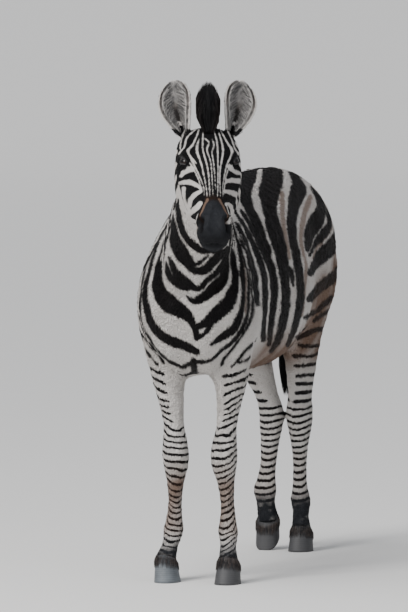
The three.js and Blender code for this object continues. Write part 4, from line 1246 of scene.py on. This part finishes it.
def tuft_coat(name, inside, count, kind, width, lift, seed):
    """Tufts, each a thin closed leaf: a root and a tip on the skin and a raised pair of corners between."""
    rng = np.random.default_rng(seed)
    chosen = np.nonzero(inside)[0]
    chance = triangle_area[chosen] / np.mean(coat_length[triangles[chosen]], 1) ** 0.8
    pick = rng.choice(chosen, count, p=chance / chance.sum())
    a, b = rng.random((2, count))
    flip = a + b > 1
    a, b = np.where(flip, 1 - a, a), np.where(flip, 1 - b, b)
    share = np.stack([1 - a - b, a, b], 1)[:, :, None]
    ends = triangles[pick]
    at = (skin_points[ends] * share).sum(1)
    normal = (skin_normals[ends] * share).sum(1)
    normal /= np.linalg.norm(normal, axis=1, keepdims=True)
    way = (skin_way[ends] * share).sum(1)
    side = np.cross(normal, way)
    side /= np.maximum(np.linalg.norm(side, axis=1, keepdims=True), 1e-6)
    way = np.cross(side, normal)
    swing = rng.normal(0, 0.18, (count, 1)) + 0.2 * wobble(at, 60, seed)[:, None]
    way, side = way * np.cos(swing) + side * np.sin(swing), side * np.cos(swing) - way * np.sin(swing)
    long = (coat_length[ends] * share[:, :, 0]).sum(1) * rng.uniform(0.7, 1.3, count)
    wide = width * (long / 10) ** 0.5 * rng.uniform(0.7, 1.3, count)
    up = lift * rng.uniform(0.5, 1.5, count) * (1 + 0.35 * wobble(at, 35, seed + 1))
    long, wide, up = long[:, None], wide[:, None], np.clip(up, 0.04, 0.5)[:, None]
    middle = at + way * long * 0.42 + normal * (long * up * 0.8 + 0.55)
    points = np.stack([at - normal * 0.8, middle + side * wide / 2, middle - side * wide / 2,
                       at + way * long + normal * (long * up * 1.1 - 0.1)], 1)
    faces = (TUFT_FACES[None] + 4 * np.arange(count)[:, None, None]).reshape(-1, 3)
    uv = (unwrapped(at, kind)[:, None] + TUFT_UV).reshape(-1, 2)
    made = solid_mesh(name, points.reshape(-1, 3), faces, uv, hair_material(name + " hair", TUFT_CRISPNESS))
    plain = (plain_points[ends] * share).sum(1) + way * long * 0.45
    plain_normal = (plain_normals[ends] * share).sum(1)
    kept = markings(plain, plain_normal)
    ear_marks(at + way * long * 0.3, normal, kept)
    write_marks(made.data, {key: np.repeat(value, 4) for key, value in kept.items()})


y = skin_points[:, 1]
ear_part = on_ear > 0
head_part = is_head & ~ear_part
leg_part = (z <= 655) & ~head_part & (y < 700)
rest = ~(ear_part | head_part | leg_part)
neck_part = rest & (y < -300) & (0.9 * (y + 400) - 0.42 * (z - 1020) < 0) & (z > 780)
shoulder_part = rest & ~neck_part & (y < -150)
barrel_part = rest & (y >= -150) & (y < 290)
haunch_part = rest & (y >= 290)
fewer = 1.0
FIRST_SEED = 100
# Each part's name, skin, number of tufts, map, width of a tuft and how far it stands off the skin.
COAT_PARTS = (
    ("coat_head", head_part, 48000, "head", 2.2, 0.13),
    ("coat_ears", ear_part, 14000, "ear", 2.0, 0.16),
    ("coat_neck", neck_part, 40000, (-800, -250), 3.2, 0.15),
    ("coat_shoulders", shoulder_part, 46000, (-620, -100), 3.2, 0.14),
    ("coat_barrel", barrel_part, 48000, (-200, 340), 3.6, 0.14),
    ("coat_haunches", haunch_part, 48000, (240, 760), 3.6, 0.15),
    ("coat_forelegs", leg_part & (y < 100), 28000, "leg", 2.6, 0.13),
    ("coat_hindlegs", leg_part & (y >= 100), 32000, "leg", 2.7, 0.13),
)


def majority(flags):
    """Triangles most of whose corners are in a part, so that each belongs to one."""
    return flags[triangles].sum(1) >= 2


for seed, (name, part, count, kind, width, lift) in enumerate(COAT_PARTS):
    tuft_coat(name, majority(part), int(count * fewer), kind, width, lift, FIRST_SEED + seed)

# ---------------------------------------------------------------- the mane and forelock
# A stiff brush of long hair along the crest, black and white with the neck's bands, over a dense core.
# Between the ears it stands as a black forelock.
MANE_HALF = 24.0


def crest(t):
    """Base, way up, way to the left and height of the mane at place t of the neck, the forelock from 7 on."""
    dy, dz, vy, vz, x, *_, yaw = spline(NECK, np.clip(t, 0, 7)).T
    base = np.stack([x, dy, dz], 1)
    up = np.stack([0 * dy, dy - vy, dz - vz], 1)
    up /= np.linalg.norm(up, axis=1, keepdims=True)
    side = np.stack([np.cos(np.radians(yaw)), np.sin(np.radians(yaw)), 0 * yaw], 1)
    rise = np.minimum(1, t / 5)
    tall = 30 + 95 * rise
    half = MANE_HALF * (0.6 + 0.4 * rise)
    f = np.clip(t - 7, 0, 1)[:, None]
    front = head_point(np.interp(t, [7, 7.4, 8], [-10, 6, 34]), 4 + 0 * t, 0 * t)
    ahead = smoothstep(f, 0, 0.35)
    base = base * (1 - ahead) + front * ahead
    up = up * (1 - ahead) + UP * ahead
    side = side * (1 - ahead) + LEFT * ahead
    tall = np.where(t > 7, np.interp(t, [7, 7.35, 7.6, 8], [128, 142, 138, 96]), tall)
    half = np.where(t > 7, np.interp(t, [7, 7.6, 8], [24, 22, 11]), half)
    return base, up, side, tall, half


def blades(paths, widths, side):
    """Closed three-sided hairs: each path tapers from its root to its tip through three-cornered rings."""
    n, m = paths.shape[:2]
    run = np.gradient(paths, axis=1)
    run /= np.linalg.norm(run, axis=2, keepdims=True)
    across = np.repeat(side[:, None], m, 1)
    across = across - run * (across * run).sum(2, keepdims=True)
    across /= np.maximum(np.linalg.norm(across, axis=2, keepdims=True), 1e-6)
    over = np.cross(run, across)
    inner = slice(1, m - 1)
    w = widths[:, inner, None] / 2
    rings = np.stack([paths[:, inner] + across[:, inner] * w, paths[:, inner] - across[:, inner] * w,
                      paths[:, inner] + over[:, inner] * w * 0.8], 2).reshape(n, -1, 3)
    points = np.concatenate([paths[:, :1], rings, paths[:, -1:]], 1)
    per = points.shape[1]
    faces = []
    for k, nxt in ((0, 1), (1, 2), (2, 0)):
        faces.append((0, 1 + nxt, 1 + k))
        for r in range(m - 3):
            low, high = 1 + 3 * r, 4 + 3 * r
            faces += [(low + k, low + nxt, high + nxt), (low + k, high + nxt, high + k)]
        faces.append((per - 1, per - 4 + k, per - 4 + nxt))
    every = np.array(faces)[None] + per * np.arange(n)[:, None, None]
    return points.reshape(-1, 3), every.reshape(-1, 3), per


def patch_uv(centres, per):
    """Each hair is a small patch of the bake's map round its root's place."""
    turn = np.arange(per) * 2.4
    offsets = np.stack([np.cos(turn), np.sin(turn)], 1) * PATCH / 2
    return (centres[:, None] + offsets[None]).reshape(-1, 2)


def hair_marks(roots, normals, per, **forced):
    """The skin's markings at the roots, copied to every point of each hair."""
    kept = markings(roots, normals)
    for key, value in forced.items():
        kept[key] = value + 0 * kept[key]
    return {key: np.repeat(value, per) for key, value in kept.items()}


rng = np.random.default_rng(7)
count = int(3400 * fewer)
t = rng.random(count) ** 0.9 * 7.7 + 0.25
base, up, side, tall, half = crest(t)
lean = rng.uniform(-1, 1, count)
forward = np.cross(side, up)
roots = base + side * (lean * half * 0.62)[:, None] - up * 9
length = (tall + 8) * (1 - 0.16 * rng.random(count) ** 2) * (1 - 0.16 * lean ** 2)
steps = np.linspace(0, 1, 5)
fan = side * (lean * half * 0.30 + rng.normal(0, 1.6, count))[:, None]
fan = fan + forward * rng.normal(0, 5, count)[:, None]
paths = roots[:, None] + up[:, None] * (length[:, None] * steps)[:, :, None]
paths = paths + fan[:, None] * (steps ** 1.6)[None, :, None]
plume = smoothstep(t, 6.9, 7.2) * lean * 20
paths += side[:, None] * (plume[:, None] * np.array([-0.25, 0.35, 0.9, 0.85, 0.15]))[:, :, None]
profile = np.array([1, 1, 0.95, 0.6, 0])
points, faces, per = blades(paths, rng.uniform(2.6, 4.4, count)[:, None] * profile, side)
uv = patch_uv(np.stack([0.02 + 0.96 * t / 8, 0.5 + 0.4 * lean], 1), per)
is_lock = smoothstep(t, 6.7, 7.1)
mane = solid_mesh("mane_hair", points, faces, uv, hair_material("mane hair"))
kept = hair_marks(base, side, per)
along = np.tile(np.concatenate([[0], np.repeat(steps[1:-1], 3), [1]]), count)
lock = np.repeat(is_lock, per)
kept["fill"] = np.clip(kept["fill"] * 0 + lock * 1.6 + 1.4 * smoothstep(along, 0.84, 0.97), -1, 1)
kept["stain"] = np.clip(0.35 * along * (1 - lock) + 0.25 * lock * np.repeat(np.abs(lean) ** 3, per), 0, 1)
kept["shadow"] = 0 * along
kept["pick"] = 0 * along
write_marks(mane.data, kept)

core_t = np.linspace(0.35, 7.9, 60)
base, up, side, tall, half = crest(core_t)
c, s = squarish(ring_angles(20), 2.4)
reach = (tall * 0.86 + 16)[:, None] / 2
rings = (base + up * (tall * 0.43 - 8)[:, None])[:, None]
rings = rings + side[:, None] * (c * half[:, None] * 0.6)[..., None]
rings = rings + up[:, None] * (s * reach)[..., None]
points, quads = closed_loft(rings)
core = new_object("mane_core", placed(points), quads)
smooth(core.data)
ring_base = np.repeat(base, 20, 0)
kept = markings(ring_base, np.repeat(side, 20, 0))
kept["fill"] = np.repeat(smoothstep(core_t, 6.7, 7.1), 20) * 1.6 + 0 * kept["fill"]
kept["stain"] *= 0
kept["shadow"] *= 0
kept["pick"] *= 0
write_marks(core.data, kept)
# the core is two fifths darker, as painted shade inside the mane
core.data.materials.append(coat_material("mane core", 6.0, 0.6))
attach(core, "root")
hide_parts("mane")

# ---------------------------------------------------------------- hair in the ears
# Long soft white and grey hair that grows from both edges of each ear and lies across its cup.
for name, side in (("left", 1), ("right", -1)):
    count = int(1100 * fewer)
    root, axis, facing, across = ear_axes(side)
    inner = np.sign(across @ LEFT * -side)
    edge = np.where(rng.random(count) < 0.62, inner, -inner) * rng.uniform(0.55, 0.97, count)
    low = rng.random(count) ** 1.2 * 0.74 + 0.06
    steps = np.linspace(0, 1, 6)
    turn = edge[:, None] * (1 - steps * rng.uniform(0.35, 1.0, count)[:, None])
    high = low[:, None] + steps * rng.uniform(0.05, 0.24, count)[:, None]
    hide = EAR_HIDE + 0 * turn.ravel()
    shape = ear_point(side, high.ravel(), turn.ravel(), hide, hide).reshape(count, 6, 3)
    stand = rng.uniform(1.5, 6.0, count)[:, None] * np.sin(math.pi * np.minimum(steps + 0.08, 0.9))
    paths = shape + facing * stand[..., None]
    paths[:, 0] -= facing * 1.5
    widths = rng.uniform(1.0, 1.9, count)[:, None] * np.array([1, 1, 1, 0.8, 0.5, 0])
    points, faces, per = blades(paths, widths, np.tile(axis, (count, 1)))
    uv = patch_uv(np.stack([0.25 + 0.2 * edge + 0.5 * (side > 0), 0.05 + 0.9 * low], 1), per)
    soft = solid_mesh("ear_hair_" + name, points, faces, uv, hair_material("ear hair"))
    kept = hair_marks(paths[:, 0], np.tile(facing, (count, 1)), per, fill=-1.0, traced=0.0, shadow=0.0,
                      pick=0.0, stain=0.0, narrow=0.0)
    grey = rng.uniform(0.55, 0.97, count) * np.where(np.abs(edge) > 0.88, 0.35, 1.0)
    kept["dark"] = np.repeat(grey, per)
    write_marks(soft.data, kept)

# ---------------------------------------------------------------- the tail
# Long coarse black hair bound in from the end of the dock, hanging in a loose tuft.
TUFT = [
    (-24, 716, 760, 19, 18),
    (-30, 714, 700, 27, 25),
    (-36, 712, 630, 30, 27),
    (-40, 710, 560, 25, 23),
    (-43, 708, 510, 15, 14),
    (-44, 707, 484, 4, 4),
]
count = int(620 * fewer)
angle = rng.uniform(0, 2 * math.pi, count)
far = np.sqrt(rng.random(count))
start = rng.uniform(0, 0.9, count)
end = start + rng.uniform(2.2, 4.0, count)
steps = np.linspace(0, 1, 8)
where = np.clip(start[:, None] + (end - start)[:, None] * steps, 0, 5)
sections = spline(TUFT, where.ravel()).reshape(count, 8, 5)
out = far[:, None] * (0.9 + 0.1 * np.sin(steps * 9 + angle[:, None]))
paths = np.stack([sections[..., 0] + sections[..., 3] * out * np.cos(angle[:, None] + 0.25 * steps),
                  sections[..., 1] + sections[..., 4] * out * np.sin(angle[:, None] + 0.25 * steps),
                  sections[..., 2]], -1)
paths[..., 2] += 35 * (1 - steps) * (start < 0.3)[:, None]
profile = np.array([1, 1, 1, 1, 0.9, 0.7, 0.4, 0])
across = np.stack([-np.sin(angle), np.cos(angle), 0 * angle], 1)
points, faces, per = blades(paths, rng.uniform(2.6, 5.0, count)[:, None] * profile, across)
uv = patch_uv(np.stack([0.02 + 0.96 * angle / 6.3, 0.05 + 0.9 * start], 1), per)
tuft = solid_mesh("tail_hair", points, faces, uv, hair_material("tail hair"))
kept = hair_marks(paths[:, 0], across, per, fill=1.0, stain=0.12, dark=0.0, shadow=0.0, pick=0.0)
write_marks(tuft.data, kept)
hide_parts("tail_tuft")

# ---------------------------------------------------------------- hooves
# Hard grey horn in level growth rings, blotched pale by dust: a wall that spreads down to a flat sole. Short
# hair falls over its top. Each hoof has the section above it, its side, its splay, and then its sole.
WALL_RINGS = 14
WALL_POINTS = 56
SOLES = {
    "front_left": (FORELEG[-1], 1, 0, (-402, 0, 39, 52, 46, 0)),
    "front_right": (FORELEG[-1], -1, -20, (-402, 0, 39, 52, 46, 0)),
    "hind_left": (HINDLEG[-1], 1, 0, (602, 0, 39, 52, 46, 0)),
    "hind_right": (RESTING_LEG[-1], -1, 0, (624, 32, 38, 53, 44, -42)),
}


def horn_material(name, tone):
    """Grey horn in level rings, blotched pale by dust."""
    made, tree, shader = new_material(name)
    rings = tree.nodes.new("ShaderNodeTexWave")
    rings.bands_direction = "Z"
    rings.inputs["Scale"].default_value = 55.0
    rings.inputs["Distortion"].default_value = 1.5
    where = tree.nodes.new("ShaderNodeTexCoord")
    tree.links.new(where.outputs["Object"], rings.inputs["Vector"])
    dusty, ringed = (tuple(share * c for c in tone) for share in (0.16, 0.3))
    colour = mixed(tree, noise(tree, 26.0, 5.0, 0.65), (0.030, 0.030, 0.032), dusty)
    colour = mixed(tree, product(tree, rings.outputs["Fac"], 0.12), colour, ringed)
    tree.links.new(colour, shader.inputs["Base Color"])
    shader.inputs["Roughness"].default_value = 0.6
    bumped(tree, shader, noise(tree, 60.0, 5.0, 0.7), 0.0015)
    return made


horn = horn_material("dark horn", (0.34, 0.34, 0.36))
pale_horn = horn_material("pale horn", (0.95, 1.08, 1.2))
for name, (coronet, side, splay, (sole_y, sole_z, a, f, b, tilt)) in SOLES.items():
    sole = (coronet[0], sole_y, sole_z, a, f, b, tilt, 2.2)
    top, bottom = (leg_rings([end, end], side, splay, 1, WALL_POINTS, 0.0)[0] for end in (coronet, sole))
    u = np.linspace(0, 1, WALL_RINGS)[:, None, None]
    bulge = 1 + 0.018 * np.sin(math.pi * np.minimum(1, u * 5)) + 0 * u
    ring = top * (1 - u) + bottom * u
    middle = ring.mean(1, keepdims=True)
    ring = middle + (ring - middle) * bulge * (1 - 0.02 * (u < 0.01))
    ring[0, :, 2] -= 1.0
    ring[..., 2] = np.maximum(ring[..., 2], 0)
    points, quads = closed_loft(ring)
    hoof = new_object("hoof_horn_" + name, placed(points), quads)
    smooth(hoof.data)
    hoof.data.materials.append(pale_horn if name == "front_right" else horn)
    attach(hoof, "root")
    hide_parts("hoof_" + name)
    # short hair of the coronet falls over the top of the wall
    count = int(620 * fewer)
    turn = rng.uniform(0, 2 * math.pi, count)
    which = (turn / (2 * math.pi) * WALL_POINTS).astype(int) % WALL_POINTS
    middle = ring.mean(1)
    start = rng.uniform(0.0, 0.06, count)
    end = start + rng.uniform(0.20, 0.46, count)
    steps = np.linspace(0, 1, 5)
    where = (start[:, None] + (end - start)[:, None] * steps) * (WALL_RINGS - 1)
    low = np.clip(where.astype(int), 0, WALL_RINGS - 2)
    part = (where - low)[..., None]
    on_wall = ring[low, which[:, None]] * (1 - part) + ring[low + 1, which[:, None]] * part
    outward = on_wall - (middle[low] * (1 - part) + middle[low + 1] * part)
    outward[..., 2] = 0
    outward /= np.linalg.norm(outward, axis=2, keepdims=True)
    stand = np.array([-2.0, 1.6, 2.6, 2.6, 1.2]) * rng.uniform(0.6, 1.3, (count, 1))
    paths = on_wall + outward * stand[..., None]
    paths[:, 0, 2] += 7
    paths[..., 2] = np.maximum(paths[..., 2], 3)
    edge = np.cross(outward[:, 0], [0, 0, 1.0])
    widths = rng.uniform(1.6, 2.8, count)[:, None] * np.array([1, 1, 0.9, 0.6, 0])
    points, faces, per = blades(paths, widths, edge)
    uv = patch_uv(np.stack([0.02 + 0.96 * turn / 6.3, 0.3 + 0.3 * start], 1), per)
    fringe = solid_mesh("coronet_hair_" + name, points, faces, uv, hair_material("coronet hair"))
    kept = hair_marks(paths[:, 0], outward[:, 0], per, fill=-0.4, traced=0.0, shadow=0.45, pick=0.0)
    kept["stain"] = np.repeat(rng.uniform(0.5, 1.0, count), per)
    kept["dark"] = np.repeat(rng.uniform(0.72, 1.0, count), per)
    write_marks(fringe.data, kept)

# ---------------------------------------------------------------- eyes
# Glass eyes set in the sockets: brown almost to black, with a level pupil and a bright surface. Dark lids are
# modelled round them and carry stiff lashes.
def eye_material():
    """Dark brown iris round a long level pupil, under a clear wet coat."""
    made, tree, shader = new_material("glass eye")
    outside = value_node(tree, "SUBTRACT", attribute(tree, "from_pupil"), 1.0)
    pupil = value_node(tree, "MULTIPLY", outside, 6.0, clamp=True)
    colour = mixed(tree, pupil, (0.0015, 0.0015, 0.002), (0.010, 0.0045, 0.0025))
    tree.links.new(colour, shader.inputs["Base Color"])
    shader.inputs["Roughness"].default_value = 0.25
    shader.inputs["Specular IOR Level"].default_value = 0.2
    shader.inputs["Coat Weight"].default_value = 0.22
    shader.inputs["Coat Roughness"].default_value = 0.02
    return made


def lid_material():
    """Soft black skin."""
    made, tree, shader = new_material("eyelid")
    colour = mixed(tree, noise(tree, 240.0), (0.003, 0.003, 0.0035), (0.010, 0.009, 0.010))
    tree.links.new(colour, shader.inputs["Base Color"])
    shader.inputs["Roughness"].default_value = 0.5
    return made


def almond(theta, wide, upper, lower):
    """Opening of the eye: a circle drawn out to a corner at each end, its halves of their own heights."""
    c, s = np.cos(theta), np.sin(theta)
    return wide * c, np.where(s > 0, upper, lower) * np.abs(s) ** 1.15 * np.sign(s)


LID_WIDE = 17.4
LID_LOWER = 8.6
LID_RADIUS = 1.9
eye_glass = eye_material()
lid_skin = lid_material()
for name, side in (("left", 1), ("right", -1)):
    middle, out, front, up = eye_frame(side)
    around, over = np.linspace(0, 2 * math.pi, 48, endpoint=False), np.linspace(0.03, math.pi - 0.03, 26)
    turn, rise = np.meshgrid(around, over)
    ball = middle + EYE_R * (np.cos(rise)[..., None] * out + (np.sin(rise) * np.cos(turn))[..., None] * front
                             + (np.sin(rise) * np.sin(turn))[..., None] * up)
    points, quads = closed_loft(ball)
    eye = new_object("eye_glass_" + name, placed(points), quads)
    smooth(eye.data)
    d = points - middle
    kept = np.hypot(d @ front / 7.5, d @ up / 3.6) + 9 * (d @ out < 0)
    write_marks(eye.data, {"from_pupil": kept})
    eye.data.materials.append(eye_glass)
    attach(eye, "root")
    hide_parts("eye_" + name)
    # the lids: a soft roll round the opening, fullest along the upper lid
    theta = np.linspace(0, 2 * math.pi, 72, endpoint=False)[:, None]
    p, q = almond(theta, LID_WIDE, 7.8, LID_LOWER)
    depth = np.sqrt(np.maximum((EYE_R + 0.9) ** 2 - p ** 2 - q ** 2, 9.0))
    centre = middle + p[..., None] * front + q[..., None] * up + depth[..., None] * out
    outward = (centre - middle) / np.linalg.norm(centre - middle, axis=-1, keepdims=True)
    path = np.roll(centre, -1, 0) - np.roll(centre, 1, 0)
    path /= np.linalg.norm(path, axis=-1, keepdims=True)
    across = np.cross(path, outward)
    spin = np.linspace(0, 2 * math.pi, 10, endpoint=False)[None]
    thick = LID_RADIUS * (1 + 0.35 * np.clip(np.sin(theta), 0, 1)) * (0.75 + 0.25 * np.abs(np.sin(theta)))
    ring = centre + outward * (thick * np.sin(spin))[..., None] * 0.8
    ring = ring + across * (thick * np.cos(spin))[..., None]
    n, k = ring.shape[:2]
    i, j = np.meshgrid(np.arange(n), np.arange(k), indexing="ij")
    on, next_j = (i + 1) % n, (j + 1) % k
    quads = np.stack([i * k + j, i * k + next_j, on * k + next_j, on * k + j], -1).reshape(-1, 4)
    lid = new_object("eye_lid_" + name, placed(ring.reshape(-1, 3)), quads.tolist())
    smooth(lid.data)
    lid.data.materials.append(lid_skin)
    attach(lid, "root")
    # lashes
    count = 46
    theta = np.linspace(0.12, math.pi - 0.12, count) + rng.normal(0, 0.03, count)
    p, q = almond(theta, LID_WIDE, LID_LOWER, LID_LOWER)
    depth = np.sqrt((EYE_R + 2.5) ** 2 - p ** 2 - q ** 2)
    root = middle + p[:, None] * front + q[:, None] * up + depth[:, None] * out
    steps = np.linspace(0, 1, 5)
    reach = rng.uniform(7, 12, count)[:, None]
    fan = out * 0.55 - 0.45 * (0.6 - p / 17)[:, None] * front + 0.35 * up
    paths = root[:, None] + (fan * reach)[:, None] * steps[None, :, None]
    paths = paths + (up * 0.5 * reach)[:, None] * (steps ** 2)[None, :, None]
    widths = np.full((count, 1), 0.8) * np.array([1, 1, 0.8, 0.5, 0])
    points, faces, per = blades(paths, widths, np.tile(front, (count, 1)))
    lash = solid_mesh("eye_lashes_" + name, points, faces, None, lid_skin)

# ---------------------------------------------------------------- floor, light and camera
# A plain pale floor, level for 45 m behind the animal and then rising into a plain wall 24 m high. A broad
# daylight and a soft key light come from above and from the camera's left, with a weak fill from its right.
FLOOR_NEAR, FLOOR_TURNS, FLOOR_FAR = -60, 45, 70
WALL_HEIGHT = 24
FLOOR_HALF_WIDTH = 90
u = np.linspace(0, 1, 60)
sweep = np.stack([np.interp(u, (0, 0.3, 1), (FLOOR_NEAR, FLOOR_TURNS, FLOOR_FAR)),
                  WALL_HEIGHT * smoothstep(u, 0.3, 1.0) ** 1.5], 1)
heading = np.array([-math.sin(math.radians(SIGHT_TURN)), math.cos(math.radians(SIGHT_TURN))])
across = np.array([heading[1], -heading[0]])
floor_points = np.concatenate([
    np.concatenate([sweep[:, :1] * heading + across * w, sweep[:, 1:]], 1)
    for w in (-FLOOR_HALF_WIDTH, FLOOR_HALF_WIDTH)])
n = len(sweep)
floor_mesh = bpy.data.meshes.new("floor")
floor_mesh.from_pydata(floor_points.tolist(), [], [(n + i, n + i + 1, i + 1, i) for i in range(n - 1)])
smooth(floor_mesh)
floor = in_scene("floor", floor_mesh)
paper, tree, shader = new_material("pale paper")
shader.inputs["Base Color"].default_value = (0.80, 0.79, 0.775, 1)
shader.inputs["Roughness"].default_value = 0.9
floor_mesh.materials.append(paper)


def aimed(place, aim):
    """The turn that points a light at place towards aim."""
    return (Vector(aim) - Vector(place)).to_track_quat("-Z", "Y").to_euler()


def lamp(name, power, size, place, tone):
    """A square soft light that shines on the middle of the animal."""
    data = bpy.data.lights.new(name, "AREA")
    data.energy = power
    data.size = size
    data.color = tone
    made = in_scene(name, data)
    made.location = place
    made.rotation_euler = aimed(place, (0, 0, 0.9))


sun = bpy.data.lights.new("daylight", "SUN")
sun.energy = 1.7
sun.angle = math.radians(32)
in_scene("daylight", sun).rotation_euler = aimed((-0.6, -1.3, 2.6), (0, 0, 0))
lamp("key", 520, 3.0, (-3.2, -6.5, 4.6), tone=(1, 0.985, 0.96))
lamp("fill", 120, 4.0, (6.5, -5.0, 3.0), tone=(0.94, 0.97, 1))
world = bpy.data.worlds.new("room")
bpy.context.scene.world = world
world.use_nodes = True
world.node_tree.nodes["Background"].inputs[0].default_value = (0.84, 0.87, 0.92, 1)
world.node_tree.nodes["Background"].inputs[1].default_value = 0.5

cam = bpy.data.cameras.new("camera")
cam.lens = 294.12
camera = in_scene("camera", cam)
camera.location = SIGHT_FROM
camera.rotation_euler = (math.radians(90 - SIGHT_DROP), 0, math.radians(SIGHT_TURN))
bpy.context.scene.camera = camera
